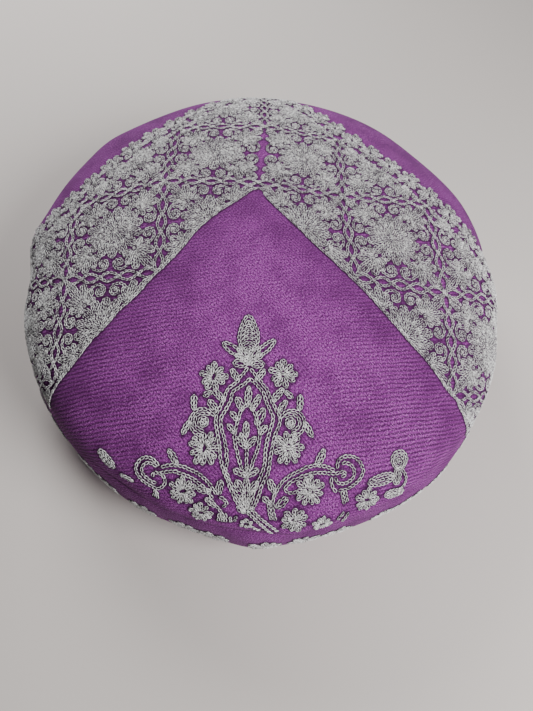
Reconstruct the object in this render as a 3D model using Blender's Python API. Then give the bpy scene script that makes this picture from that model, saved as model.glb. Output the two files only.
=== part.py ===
"""Embroidered cap: a domed cloth crown sewn to a side band that bulges below the crown's edge.

The cap stands on its rim, hollow and open underneath, with its front toward -Y and +Z up.
The origin is under the middle of its bounding box, on the surface that it rests on.
"""

from math import cos, exp, pi, radians, sin, tau

import bmesh
import bpy
from mathutils import Vector

# Driving sizes, in metres
CROWN_RADIUS = 0.102  # mean radius at the seam between crown and side band
BAND_HEIGHT = 0.046
CROWN_RISE = 0.034  # from the seam to the crown's highest point
RIM_RADIUS = 0.095  # mean outer radius where the cap stands
CLOTH = 0.0022  # wall thickness of the fulled twill with its stitching
HEM_THICKNESS = 0.0030  # the rim is turned up inside, so it is thicker
HEM_HEIGHT = 0.009
HEM_STEP = 0.0006  # height over which the turned-up hem ends
SEAM_GAP = 0.0003  # between the crown's lower edge and the side band's upper edge
SEAM_TUCK = 0.0010  # how far the side band's upper edge is drawn in under the crown

# Plan outline: how far it departs from a circle about the crown's highest point
SHIFT_BACK = -0.0048  # times the sine of the azimuth: the front reaches further out
SHIFT_RIGHT = -0.0025  # times the cosine
OVAL = -0.0022  # times the cosine of twice the azimuth: longer than it is wide
SKEW = -0.0016  # times the sine of twice the azimuth

# Crown section: 2 would be an ellipse, more is flatter on top with a fuller shoulder
CROWN_FULLNESS = 2.1

# Side band section
BULGE = 0.0028  # mean amount by which the band stands out beyond the seam
BULGE_OVAL = 0.0012  # more of it at the two sides, less at front and back
BULGE_SHARE = 0.5  # height of the widest point as a share of the band's height
DRAW_IN = 1.6  # power of the curve from the widest point down to the rim
TUCK_CURVE = 3.0  # power of the curve from the widest point up to the seam

# Dents in the crown, inward positive: azimuth and spread in degrees, reach and width as shares
# of the way from the top to the seam, depth in metres
CROWN_DENT_COLUMNS = ("azimuth", "spread", "reach", "width", "depth")
CROWN_DENTS = (
    (7.0, 6.0, 0.86, 0.20, 0.0010),
    (26.0, 8.0, 0.78, 0.20, -0.0006),
    (47.0, 11.0, 0.75, 0.25, 0.0009),
    (90.0, 24.0, 0.50, 0.25, 0.0007),
    (129.0, 10.0, 0.77, 0.25, 0.0006),
    (146.0, 6.0, 0.81, 0.20, -0.0009),
    (180.0, 5.0, 0.90, 0.16, -0.0015),
    (192.0, 7.0, 0.90, 0.20, 0.0021),
    (246.0, 6.0, 0.98, 0.10, 0.0008),
    (279.5, 4.0, 0.98, 0.10, -0.0013),
    (349.0, 6.0, 0.89, 0.20, 0.0010),
)

# Dents in the side band, deepest at its widest point: azimuth and spread in degrees, depth
BAND_DENT_COLUMNS = ("azimuth", "spread", "depth")
BAND_DENTS = (
    (232.0, 12.0, 0.0005),
    (257.0, 7.0, 0.0008),
    (273.0, 5.0, -0.0013),
    (293.0, 10.0, 0.0010),
    (314.0, 8.0, -0.0006),
)

# Mesh density
AZIMUTHS = 64
CROWN_RINGS = 15
BAND_SHARES = (0.0, 0.1, 0.2, 0.34, 0.5, 0.66, 0.8, 0.91, 1.0)

TWILL_COLOUR = (0.27, 0.082, 0.285, 1.0)
TWILL_ROUGHNESS = 0.82
SHARP_ANGLE = radians(50)


def outline(azimuth):
    """Return the plan outline's radius at an azimuth as a share of the crown's mean radius."""
    departure = SHIFT_RIGHT * cos(azimuth) + SHIFT_BACK * sin(azimuth)
    departure += OVAL * cos(2 * azimuth) + SKEW * sin(2 * azimuth)
    return 1 + departure / CROWN_RADIUS


def turned(azimuth, centre):
    """Return the angle in degrees from centre to azimuth, between -180 and 180."""
    return (azimuth * 180 / pi - centre + 180) % 360 - 180


def crown_dent(azimuth, reach):
    """Return how far the crown's cloth is pushed in at a place."""
    depth = 0.0
    for row in CROWN_DENTS:
        dent = dict(zip(CROWN_DENT_COLUMNS, row))
        round_it = turned(azimuth, dent["azimuth"]) / dent["spread"]
        along = (reach - dent["reach"]) / dent["width"]
        depth += dent["depth"] * exp(-round_it * round_it - along * along)
    return depth


def band_dent(azimuth):
    """Return how far the side band is pushed in at its widest point."""
    depth = 0.0
    for row in BAND_DENTS:
        dent = dict(zip(BAND_DENT_COLUMNS, row))
        round_it = turned(azimuth, dent["azimuth"]) / dent["spread"]
        depth += dent["depth"] * exp(-round_it * round_it)
    return depth


def crown_point(azimuth, reach, inset):
    """Return a point on the crown's outer face, or on its inner face where inset is the cloth.

    reach runs from 0 at the top to 1 at the seam.
    """
    turn = reach * pi / 2
    power = 2 / CROWN_FULLNESS
    section_radius = (CROWN_RADIUS - inset) * sin(turn) ** power
    rise = (CROWN_RISE - inset) * max(cos(turn), 0.0) ** power
    share = section_radius / CROWN_RADIUS
    radius = section_radius * (1 + (outline(azimuth) - 1) * share * share)
    pushed = crown_dent(azimuth, reach)
    radius -= pushed * sin(turn)
    height = BAND_HEIGHT + SEAM_GAP / 2 + rise - pushed * cos(turn)
    return Vector((radius * cos(azimuth), radius * sin(azimuth), height))


def band_radius(azimuth, height):
    """Return the side band's outer radius at a height above the rim."""
    widest_height = BULGE_SHARE * BAND_HEIGHT
    widest = CROWN_RADIUS + BULGE + BULGE_OVAL * cos(2 * azimuth) - band_dent(azimuth)
    if height < widest_height:
        share = (widest_height - height) / widest_height
        mean = widest + (RIM_RADIUS - widest) * share**DRAW_IN
    else:
        share = (height - widest_height) / (BAND_HEIGHT - widest_height)
        mean = widest + (CROWN_RADIUS - SEAM_TUCK - widest) * share**TUCK_CURVE
    return mean * outline(azimuth)


def band_point(azimuth, height, inset):
    """Return a point on the side band, inset from its outer face."""
    radius = band_radius(azimuth, height) - inset
    return Vector((radius * cos(azimuth), radius * sin(azimuth), height))


def azimuths():
    """Return the evenly spaced azimuths of the mesh's columns."""
    return [tau * step / AZIMUTHS for step in range(AZIMUTHS)]


def widest_line_centre():
    """Return the middle of the box round the cap, which the origin goes under."""
    level = BULGE_SHARE * BAND_HEIGHT
    line = [band_point(azimuth, level, 0.0) for azimuth in azimuths()]
    across = [point.x for point in line]
    along = [point.y for point in line]
    return Vector(((min(across) + max(across)) / 2, (min(along) + max(along)) / 2, 0.0))


def join_rings(mesh, lower, upper):
    """Add the faces between two rings of vertices."""
    for step in range(len(lower)):
        following = (step + 1) % len(lower)
        mesh.faces.new((lower[step], lower[following], upper[following], upper[step]))


def close_with_pole(mesh, ring, pole):
    """Add the fan of faces between a ring and a single vertex."""
    for step in range(len(ring)):
        mesh.faces.new((ring[step], ring[(step + 1) % len(ring)], pole))


def add_ring(mesh, points, shift):
    """Add one ring of vertices, moved so that the origin is under the cap's middle."""
    return [mesh.verts.new(point - shift) for point in points]


def finish_piece(name, mesh, material):
    """Turn a bmesh into a named object with its material and smooth shading."""
    bmesh.ops.recalc_face_normals(mesh, faces=mesh.faces)
    data = bpy.data.meshes.new(name)
    mesh.to_mesh(data)
    mesh.free()
    data.materials.append(material)
    data.shade_smooth()
    data.set_sharp_from_angle(angle=SHARP_ANGLE)
    piece = bpy.data.objects.new(name, data)
    bpy.context.scene.collection.objects.link(piece)
    return piece


def twill_material():
    """Return the purple twill that both pieces are cut from."""
    material = bpy.data.materials.new("purple_twill")
    material.use_nodes = True
    shader = material.node_tree.nodes["Principled BSDF"]
    shader.inputs["Base Color"].default_value = TWILL_COLOUR
    shader.inputs["Roughness"].default_value = TWILL_ROUGHNESS
    shader.inputs["Metallic"].default_value = 0.0
    material.diffuse_color = TWILL_COLOUR
    return material


def build_crown(material, shift):
    """Build the domed crown as one closed wall with an outer and an inner face."""
    mesh = bmesh.new()
    reaches = [step / CROWN_RINGS for step in range(1, CROWN_RINGS + 1)]
    walls = []
    for inset in (0.0, CLOTH):
        rings = []
        for reach in reaches:
            points = [crown_point(azimuth, reach, inset) for azimuth in azimuths()]
            rings.append(add_ring(mesh, points, shift))
        for nearer, farther in zip(rings, rings[1:]):
            join_rings(mesh, farther, nearer)
        pole = mesh.verts.new(crown_point(0.0, 0.0, inset) - shift)
        close_with_pole(mesh, rings[0], pole)
        walls.append(rings)
    outer, inner = walls
    join_rings(mesh, outer[-1], inner[-1])
    return finish_piece("crown", mesh, material)


def build_side_band(material, shift):
    """Build the side band as one closed wall with a flat rim and a turned-up hem inside."""
    mesh = bmesh.new()
    top = BAND_HEIGHT - SEAM_GAP / 2
    outer_heights = [share * top for share in BAND_SHARES]
    above_hem = [height for height in outer_heights if height > HEM_HEIGHT + HEM_STEP]
    inner_steps = [(height, CLOTH) for height in reversed(above_hem)]
    inner_steps.append((HEM_HEIGHT + HEM_STEP, CLOTH))
    inner_steps.append((HEM_HEIGHT, HEM_THICKNESS))
    inner_steps.append((HEM_HEIGHT / 2, HEM_THICKNESS))
    inner_steps.append((0.0, HEM_THICKNESS))
    steps = [(height, 0.0) for height in outer_heights] + inner_steps
    rings = []
    for height, inset in steps:
        points = [band_point(azimuth, height, inset) for azimuth in azimuths()]
        rings.append(add_ring(mesh, points, shift))
    for place, ring in enumerate(rings):
        join_rings(mesh, ring, rings[(place + 1) % len(rings)])
    return finish_piece("side_band", mesh, material)


def main():
    """Clear the scene and build the cap."""
    for existing in list(bpy.data.objects):
        bpy.data.objects.remove(existing)
    shift = widest_line_centre()
    twill = twill_material()
    build_crown(twill, shift)
    build_side_band(twill, shift)


main()
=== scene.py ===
"""Embroidered cap: purple twill cloth covered with grey chain stitch.

The crown and the side band follow the same section formulas as their solids, at a finer mesh.
The embroidery is designed flat, in millimetres on the cloth, and each chain stitch is then laid
on the curved cloth as a closed loop of thread.
"""

from __future__ import annotations

import logging
import math
from dataclasses import dataclass, field
from enum import Enum
from typing import Callable, Protocol, Sequence

import bpy
import numpy as np
from mathutils import Matrix, Vector
from mathutils.kdtree import KDTree

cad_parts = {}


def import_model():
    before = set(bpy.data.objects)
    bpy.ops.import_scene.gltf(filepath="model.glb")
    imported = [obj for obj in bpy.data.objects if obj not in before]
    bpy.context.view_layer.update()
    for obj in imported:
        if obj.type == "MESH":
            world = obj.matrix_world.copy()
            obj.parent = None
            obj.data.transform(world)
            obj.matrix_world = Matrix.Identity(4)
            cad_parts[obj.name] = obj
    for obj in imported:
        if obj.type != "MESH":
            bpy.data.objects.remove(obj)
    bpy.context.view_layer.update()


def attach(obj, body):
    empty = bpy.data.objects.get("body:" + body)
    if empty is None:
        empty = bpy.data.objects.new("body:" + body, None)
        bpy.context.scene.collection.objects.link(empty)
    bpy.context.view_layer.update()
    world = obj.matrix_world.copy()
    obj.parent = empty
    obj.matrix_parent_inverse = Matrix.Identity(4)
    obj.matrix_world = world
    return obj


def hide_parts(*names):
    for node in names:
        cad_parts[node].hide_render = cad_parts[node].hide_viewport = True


LOG = logging.getLogger("embroidered_cap")
MM = 0.001
BODY = "root"
SLOPE_STEP = 0.05  # millimetres moved along a cloth to find its slope there
SIDE_SIGNS = {"left": -1.0, "right": 1.0}  # the sign of x on the two sides of the cap
PETAL_SIDE = ((0.0, 1.0), (0.60, 1.0), (0.87, 0.75))  # shares of a petal's length and half width
PETAL_SPAN_POINTS = 4
ARCH_SPAN_POINTS = 3
SPIRAL_TURN_POINTS = 18
SPIRAL_LEAST_POINTS = 6
TINY = 1e-12  # stands for zero where a logarithm is taken

Colour = tuple[float, float, float, float]
Span = tuple[float, float]
Pixels = tuple[tuple[float, float], ...]  # x and y in the photograph
Rows = list[np.ndarray]  # lines of stitches in flat millimetres, with an optional column of lift


class Slot(Enum):
    """Material slots of the record."""

    TWILL = "purple_twill"
    THREAD = "grey_thread"


# Form of the cap


@dataclass(frozen=True)
class CrownDent:
    """A place where the crown is pushed in, or out where the depth is negative.

    Azimuth and spread are in degrees, reach and width in shares of the way from the top to the
    seam, and the depth in metres.
    """

    azimuth: float
    spread: float
    reach: float
    width: float
    depth: float


@dataclass(frozen=True)
class BandDent:
    """A place where the side band is pushed in, deepest at its widest line, in degrees and metres."""

    azimuth: float
    spread: float
    depth: float


@dataclass(frozen=True)
class CapShape:
    """Sections of the crown and the side band, with the sizes of the solids, in metres.

    The plan departs from a circle by shift_right and shift_back, times the cosine and the sine of
    the azimuth, and by oval and skew, times those of twice the azimuth.
    """

    crown_radius: float = 0.102
    band_height: float = 0.046
    crown_rise: float = 0.034
    rim_radius: float = 0.095
    cloth: float = 0.0022
    hem_thickness: float = 0.0030
    hem_height: float = 0.009
    hem_step: float = 0.0006
    seam_gap: float = 0.0003
    seam_tuck: float = 0.0010
    shift_back: float = -0.0048
    shift_right: float = -0.0025
    oval: float = -0.0022
    skew: float = -0.0016
    crown_fullness: float = 2.1
    bulge: float = 0.0028
    bulge_oval: float = 0.0012
    bulge_share: float = 0.5
    draw_in: float = 1.6
    tuck_curve: float = 3.0
    solid_azimuths: int = 64
    crown_dents: tuple[CrownDent, ...] = (
        CrownDent(7.0, 6.0, 0.86, 0.20, 0.0010),
        CrownDent(26.0, 8.0, 0.78, 0.20, -0.0006),
        CrownDent(47.0, 11.0, 0.75, 0.25, 0.0009),
        CrownDent(90.0, 24.0, 0.50, 0.25, 0.0007),
        CrownDent(129.0, 10.0, 0.77, 0.25, 0.0006),
        CrownDent(146.0, 6.0, 0.81, 0.20, -0.0009),
        CrownDent(180.0, 5.0, 0.90, 0.16, -0.0015),
        CrownDent(192.0, 7.0, 0.90, 0.20, 0.0021),
        CrownDent(246.0, 6.0, 0.98, 0.10, 0.0008),
        CrownDent(279.5, 4.0, 0.98, 0.10, -0.0013),
        CrownDent(349.0, 6.0, 0.89, 0.20, 0.0010),
    )
    band_dents: tuple[BandDent, ...] = (
        BandDent(232.0, 12.0, 0.0005),
        BandDent(257.0, 7.0, 0.0008),
        BandDent(273.0, 5.0, -0.0013),
        BandDent(293.0, 10.0, 0.0010),
        BandDent(314.0, 8.0, -0.0006),
    )

    def outline(self, azimuth: np.ndarray) -> np.ndarray:
        """Return the plan outline at azimuths.

        Args:
            azimuth: Angles round the crown's highest point, in radians.

        Returns:
            Its radius as a share of the crown's mean radius.
        """
        departure = self.shift_right * np.cos(azimuth) + self.shift_back * np.sin(azimuth)
        departure = departure + self.oval * np.cos(2 * azimuth) + self.skew * np.sin(2 * azimuth)
        return 1 + departure / self.crown_radius

    @staticmethod
    def turned(azimuth: np.ndarray, centre: float) -> np.ndarray:
        """Return the angle in degrees from centre to azimuth, between -180 and 180."""
        return (np.degrees(azimuth) - centre + 180) % 360 - 180

    def crown_dent(self, azimuth: np.ndarray, reach: np.ndarray) -> np.ndarray:
        """Return how far the crown's cloth is pushed in.

        Args:
            azimuth: Angles round the crown's highest point, in radians.
            reach: 0 at the highest point, 1 at the seam.

        Returns:
            Depths in metres.
        """
        depth = np.zeros(np.broadcast(azimuth, reach).shape)
        for dent in self.crown_dents:
            round_it = self.turned(azimuth, dent.azimuth) / dent.spread
            along = (reach - dent.reach) / dent.width
            depth = depth + dent.depth * np.exp(-round_it * round_it - along * along)
        return depth

    def crown_section(self, reach: np.ndarray, inset: float = 0.0) -> tuple[np.ndarray, np.ndarray]:
        """Return the mean section of the crown.

        Args:
            reach: 0 at the highest point, 1 at the seam.
            inset: How far inside the outer face the section lies.

        Returns:
            Its radius and its rise above the seam.
        """
        turn = reach * np.pi / 2
        power = 2 / self.crown_fullness
        radius = (self.crown_radius - inset) * np.sin(turn) ** power
        rise = (self.crown_rise - inset) * np.maximum(np.cos(turn), 0.0) ** power
        return radius, rise

    def crown_point(self, azimuth: np.ndarray, reach: np.ndarray, inset: float = 0.0) -> np.ndarray:
        """Return points on the crown.

        Args:
            azimuth: Angles round the crown's highest point, in radians.
            reach: 0 at the highest point, 1 at the seam.
            inset: How far inside the outer face the section lies.

        Returns:
            Points in the row frame, one row each.
        """
        section_radius, rise = self.crown_section(reach, inset)
        share = section_radius / self.crown_radius
        radius = section_radius * (1 + (self.outline(azimuth) - 1) * share * share)
        turn = reach * np.pi / 2
        pushed = self.crown_dent(azimuth, reach)
        radius = radius - pushed * np.sin(turn)
        height = self.band_height + self.seam_gap / 2 + rise - pushed * np.cos(turn)
        points = np.stack([radius * np.cos(azimuth), radius * np.sin(azimuth), height], -1)
        return points - self.centre()

    def band_radius(self, azimuth: np.ndarray, height: np.ndarray) -> np.ndarray:
        """Return the side band's outer radius.

        Args:
            azimuth: Angles round the crown's highest point, in radians.
            height: Heights above the rim.

        Returns:
            Radii about the crown's highest point.
        """
        widest_height = self.bulge_share * self.band_height
        widest = self.crown_radius + self.bulge + self.bulge_oval * np.cos(2 * azimuth)
        for dent in self.band_dents:
            round_it = self.turned(azimuth, dent.azimuth) / dent.spread
            widest = widest - dent.depth * np.exp(-(round_it**2))
        below = np.clip((widest_height - height) / widest_height, 0, 1) ** self.draw_in
        above = np.clip((height - widest_height) / (self.band_height - widest_height), 0, 1)
        above = above**self.tuck_curve
        seam_radius = self.crown_radius - self.seam_tuck
        mean = widest + (self.rim_radius - widest) * below + (seam_radius - widest) * above
        return mean * self.outline(azimuth)

    def raw_band_point(self, azimuth: np.ndarray, height: np.ndarray, inset: float) -> np.ndarray:
        """Return points on the side band.

        Args:
            azimuth: Angles round the crown's highest point, in radians.
            height: Heights above the rim.
            inset: How far inside the outer face the points lie.

        Returns:
            Points from below the crown's highest point, one row each.
        """
        radius = self.band_radius(azimuth, height) - inset
        rise = height + 0 * azimuth
        return np.stack([radius * np.cos(azimuth), radius * np.sin(azimuth), rise], -1)

    def band_point(self, azimuth: np.ndarray, height: np.ndarray, inset: float = 0.0) -> np.ndarray:
        """Return points on the side band in the row frame."""
        return self.raw_band_point(azimuth, height, inset) - self.centre()

    def centre(self) -> np.ndarray:
        """Return where the origin goes.

        Returns:
            The middle of the box round the widest line, on the surface that the rim stands on.
        """
        azimuth = np.arange(self.solid_azimuths) * 2 * np.pi / self.solid_azimuths
        level = np.full_like(azimuth, self.bulge_share * self.band_height)
        line = self.raw_band_point(azimuth, level, 0.0)
        middle = (line.min(axis=0) + line.max(axis=0)) / 2
        return np.array([middle[0], middle[1], 0.0])


class Cloth(Protocol):
    """A surface that flat millimetres can be laid on."""

    def surface(self, flat: np.ndarray) -> np.ndarray:
        """Return points of the outer face."""


def lay_on(cloth: Cloth, flat: np.ndarray, lift: np.ndarray) -> np.ndarray:
    """Lay flat points on a cloth.

    Args:
        cloth: The surface.
        flat: Points in flat millimetres, one row each.
        lift: Height of each point above the cloth, in millimetres.

    Returns:
        Points in metres.
    """
    here = cloth.surface(flat)
    across = cloth.surface(flat + np.array([SLOPE_STEP, 0.0])) - here
    back = cloth.surface(flat + np.array([0.0, SLOPE_STEP])) - here
    normal = np.cross(across, back)
    normal /= np.linalg.norm(normal, axis=1)[:, None]
    return here + normal * (lift * MM)[:, None]


@dataclass
class CrownCloth:
    """The crown's outer face, laid flat from its highest point."""

    shape: CapShape
    section_points: int = 1201
    reaches: np.ndarray = field(init=False)
    lengths: np.ndarray = field(init=False)

    def __post_init__(self) -> None:
        """Measure the length along the mean section."""
        self.reaches = np.linspace(0.0, 1.0, self.section_points)
        radius, rise = self.shape.crown_section(self.reaches)
        steps = np.hypot(np.diff(radius), np.diff(rise)) / MM
        self.lengths = np.concatenate([[0.0], np.cumsum(steps)])

    @property
    def edge(self) -> float:
        """Length from the highest point to the seam, in millimetres."""
        return float(self.lengths[-1])

    def surface(self, flat: np.ndarray) -> np.ndarray:
        """Return points of the crown's outer face.

        Args:
            flat: Points in flat millimetres, one row each.

        Returns:
            Points in metres.
        """
        length = np.hypot(flat[:, 0], flat[:, 1])
        azimuth = np.arctan2(flat[:, 1], flat[:, 0])
        reach = np.interp(length, self.lengths, self.reaches)
        return self.shape.crown_point(azimuth, reach)


@dataclass
class BandCloth:
    """The side band's outer face: millimetres round it and up from the rim."""

    shape: CapShape

    @property
    def round_length(self) -> float:
        """Length round the band, in millimetres."""
        return 2 * math.pi * self.shape.crown_radius / MM

    def surface(self, flat: np.ndarray) -> np.ndarray:
        """Return points of the side band's outer face."""
        azimuth = flat[:, 0] * MM / self.shape.crown_radius
        return self.shape.band_point(azimuth, flat[:, 1] * MM)


# The photograph's view


@dataclass(frozen=True)
class PhotoView:
    """Camera of the photograph: places in metres, image sizes in pixels.

    Places on the crown are found from pixels by a search from the nearest place of a grid. Its
    columns are search_degrees apart and its rings search_step millimetres, and no step of the
    search is longer than longest_move.
    """

    position: tuple[float, float, float] = (0.00472, -0.13013, 0.24054)
    target: tuple[float, float, float] = (0.00472, -0.03720, 0.050)
    roll_degrees: float = 6.2
    focal_px: float = 534.0
    width_px: int = 533
    height_px: int = 711
    sensor_mm: float = 36.0
    clip_start: float = 0.01
    clip_end: float = 20.0
    search_degrees: float = 4.0
    search_start: float = 1.0
    search_step: float = 3.0
    search_rounds: int = 8
    longest_move: float = 4.0

    def axes(self) -> tuple[np.ndarray, np.ndarray, np.ndarray]:
        """Return the camera's own directions.

        Returns:
            Unit vectors to the right, up and forward in the image.
        """
        forward = np.array(self.target) - np.array(self.position)
        forward /= np.linalg.norm(forward)
        level_right = np.cross(forward, [0.0, 0.0, 1.0])
        level_right /= np.linalg.norm(level_right)
        level_up = np.cross(level_right, forward)
        roll = math.radians(self.roll_degrees)
        right = math.cos(roll) * level_right + math.sin(roll) * level_up
        up = -math.sin(roll) * level_right + math.cos(roll) * level_up
        return right, up, forward

    def project(self, points: np.ndarray) -> np.ndarray:
        """Return where points show in the image.

        Args:
            points: Points in metres, one row each.

        Returns:
            Pixels, one row each.
        """
        right, up, forward = self.axes()
        away = points - np.array(self.position)
        depth = away @ forward
        x_px = self.width_px / 2 + self.focal_px * (away @ right) / depth
        y_px = self.height_px / 2 - self.focal_px * (away @ up) / depth
        return np.stack([x_px, y_px], -1)

    def flat_at(self, cloth: CrownCloth, pixels: np.ndarray) -> np.ndarray:
        """Return the flat millimetres that show at pixels on the crown.

        Args:
            cloth: The crown's outer face.
            pixels: Image places, one row each.

        Returns:
            Flat places, one row each.
        """
        turns = np.radians(np.arange(0.0, 360.0, self.search_degrees))
        lengths = np.arange(self.search_start, cloth.edge, self.search_step)
        azimuth, length = np.meshgrid(turns, lengths)
        grid = np.stack([(length * np.cos(azimuth)).ravel(), (length * np.sin(azimuth)).ravel()], -1)
        lifted = lay_on(cloth, grid, np.ones(len(grid)))
        outward = lifted - cloth.surface(grid)
        facing = ((np.array(self.position) - lifted) * outward).sum(axis=1) > 0
        grid = grid[facing]
        shown = self.project(cloth.surface(grid))
        places = np.array([grid[np.argmin(((shown - pixel) ** 2).sum(axis=1))] for pixel in pixels])
        step = SLOPE_STEP
        for _ in range(self.search_rounds):
            here = self.project(cloth.surface(places))
            across = (self.project(cloth.surface(places + [step, 0.0])) - here) / step
            back = (self.project(cloth.surface(places + [0.0, step])) - here) / step
            missing = pixels - here
            scale = across[:, 0] * back[:, 1] - across[:, 1] * back[:, 0]
            move_across = (missing[:, 0] * back[:, 1] - missing[:, 1] * back[:, 0]) / scale
            move_back = (across[:, 0] * missing[:, 1] - across[:, 1] * missing[:, 0]) / scale
            move = np.stack([move_across, move_back], -1)
            size = np.maximum(np.linalg.norm(move, axis=1) / self.longest_move, 1.0)
            places = places + move / size[:, None]
        return places

    def add_camera(self) -> bpy.types.Object:
        """Add the camera and make it the scene's.

        Returns:
            The camera.
        """
        data = bpy.data.cameras.new("photo_camera")
        data.sensor_fit = "AUTO"
        data.sensor_width = self.sensor_mm
        data.lens = self.focal_px * self.sensor_mm / self.height_px
        data.clip_start = self.clip_start
        data.clip_end = self.clip_end
        camera = bpy.data.objects.new("photo_camera", data)
        right, up, forward = self.axes()
        turn = Matrix([right, up, -forward]).transposed()
        camera.matrix_world = Matrix.Translation(Vector(self.position)) @ turn.to_4x4()
        bpy.context.scene.collection.objects.link(camera)
        bpy.context.scene.camera = camera
        return camera


# Lines of stitches, in millimetres


@dataclass(frozen=True)
class FlowerForm:
    """How uneven the petals of a flower are, and the size of the slit in its middle.

    The lean in degrees and the change of reach, as a share, run as waves over the petals. The
    petals' half width is a share of the step between them.
    """

    lean: float = 5.0
    lean_rate: float = 2.1
    reach_change: float = 0.07
    reach_rate: float = 2.7
    slit_half_length: float = 1.5
    slit_half_width: float = 0.75
    petal_share: float = 0.27


@dataclass(frozen=True)
class BudForm:
    """Form of a bud and of the arches that cover it like scales, in millimetres.

    Each point of the arch is a share of its half width and a distance along the bud.
    """

    row: float = 1.5
    fullness: float = 0.72
    point: float = 0.75
    outline_points: int = 17
    arch_inset: float = 0.9
    narrowest_arch: float = 0.3
    arch: tuple[tuple[float, float], ...] = ((-1.0, -0.9), (-0.6, 0.0), (0.0, 0.6), (0.6, 0.0), (1.0, -0.9))


def polar(centre: Sequence[float], radius: float | np.ndarray, degrees: float | np.ndarray) -> np.ndarray:
    """Return points at a radius and an angle from a centre."""
    angle = np.radians(degrees)
    return np.stack([centre[0] + radius * np.cos(angle), centre[1] + radius * np.sin(angle)], -1)


def smooth_line(points: Sequence[Sequence[float]] | np.ndarray, per_span: int = 8) -> np.ndarray:
    """Return a Catmull-Rom curve.

    Args:
        points: The points that it passes through.
        per_span: How many points it has from one of them to the next.

    Returns:
        The curve's points, one row each.
    """
    knots = np.asarray(points, float)
    if len(knots) < 3:
        return knots
    padded = np.vstack([2 * knots[0] - knots[1], knots, 2 * knots[-1] - knots[-2]])
    share = np.linspace(0.0, 1.0, per_span, endpoint=False)[:, None]
    spans = []
    for before, start, stop, after in zip(padded, padded[1:], padded[2:], padded[3:]):
        curve = 2 * start + (stop - before) * share
        curve = curve + (2 * before - 5 * start + 4 * stop - after) * share**2
        curve = curve + (3 * start - before - 3 * stop + after) * share**3
        spans.append(curve / 2)
    spans.append(knots[-1:])
    return np.vstack(spans)


def ring(centre: Sequence[float], radius: float, points: int = 25) -> np.ndarray:
    """Return a closed circle."""
    return polar(centre, radius, np.linspace(0.0, 360.0, points))


def swelling(share: np.ndarray, fullness: float = 0.85, point: float = 0.55) -> np.ndarray:
    """Return a leaf's half width at shares of its length, 1 where it is widest."""
    return np.sin(np.pi * share**fullness) ** point


def pointed(
    base: Sequence[float], tip: Sequence[float], points: int
) -> tuple[np.ndarray, np.ndarray, np.ndarray, np.ndarray]:
    """Return what a leaf or a bud is drawn from.

    Args:
        base: Where it starts.
        tip: Its point.
        points: How many points each of its sides has.

    Returns:
        Its base, the way to its tip, the unit vector to the left of that, and the sides' shares
        of it.
    """
    start, stop = np.asarray(base, float), np.asarray(tip, float)
    along = stop - start
    side = np.array([-along[1], along[0]]) / np.linalg.norm(along)
    return start, along, side, np.linspace(0.0, 1.0, points)[:, None]


def leaf(
    base: Sequence[float],
    tip: Sequence[float],
    width: float,
    row: float,
    closeness: float = 0.93,
    narrowest: float = 0.3,
    points: int = 13,
) -> Rows:
    """Return the rows of a leaf: its outline from the base round the tip, and rows that fill it.

    Args:
        base: Where the leaf starts.
        tip: Its point.
        width: Greatest width across the stitches.
        row: Distance between rows that lie side by side.
        closeness: How much closer, as a share, the rows that fill it may lie.
        narrowest: Least width between the two sides of its outline.
        points: How many points each side has.

    Returns:
        Rows of stitches.
    """
    start, along, side, share = pointed(base, tip, points)
    half = max(width - row, narrowest) / 2
    swell = swelling(share)
    left = start + along * share + side * half * swell
    right = start + along * share - side * half * swell
    rows = [np.vstack([left, right[::-1][1:]])]
    inner = int((2 * half) // (row * closeness))
    for place in range(1, inner):
        offset = half * (2 * place / inner - 1)
        inside = share[1:-2]
        rows.append(start + along * inside + side * offset * swell[1:-2])
    return rows


def petal(centre: Sequence[float], degrees: float, inner: float, outer: float, spread: float) -> np.ndarray:
    """Return an arch that goes out along one side of a petal and back along the other.

    Args:
        centre: Middle of the flower.
        degrees: Direction of the petal.
        inner: Distance from the centre at which it starts.
        outer: Distance of its tip.
        spread: Half its width, in degrees.

    Returns:
        The arch's points, one row each.
    """
    out, half = np.array(PETAL_SIDE).T
    share = np.concatenate([out, [1.0], out[::-1]])
    angles = degrees + spread * np.concatenate([-half, [0.0], half[::-1]])
    return smooth_line(polar(centre, inner + (outer - inner) * share, angles), PETAL_SPAN_POINTS)


def flower(
    centre: Sequence[float],
    radius: float,
    petals: int,
    turn: float = 0.0,
    slit: float = 90.0,
    form: FlowerForm = FlowerForm(),
) -> Rows:
    """Return a flower of slightly uneven petals, each a row out and back, about a narrow slit.

    Args:
        centre: Its middle.
        radius: Mean reach of the petals.
        petals: How many petals it has.
        turn: Direction of the first petal, in degrees.
        slit: Direction of the slit in its middle, in degrees.
        form: How uneven it is, and the size of the slit.

    Returns:
        Rows of stitches.
    """
    step = 360.0 / petals
    rows = []
    for count in range(petals):
        degrees = turn + step * count + form.lean * math.sin(form.lean_rate * count + turn)
        off_slit = math.radians(degrees - slit)
        along, across = math.cos(off_slit) / form.slit_half_length, math.sin(off_slit) / form.slit_half_width
        reach = radius * (1.0 + form.reach_change * math.sin(form.reach_rate * count + turn))
        rows.append(petal(centre, degrees, 1.0 / math.hypot(along, across), reach, form.petal_share * step))
    return rows


def spiral(centre: Sequence[float], inner: float, outer: float, start: float, turns: float) -> np.ndarray:
    """Return a spiral from its core outward; negative turns go clockwise."""
    share = np.linspace(0.0, 1.0, int(abs(turns) * SPIRAL_TURN_POINTS) + SPIRAL_LEAST_POINTS)
    return polar(centre, inner + (outer - inner) * share, start + 360.0 * turns * share)


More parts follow.
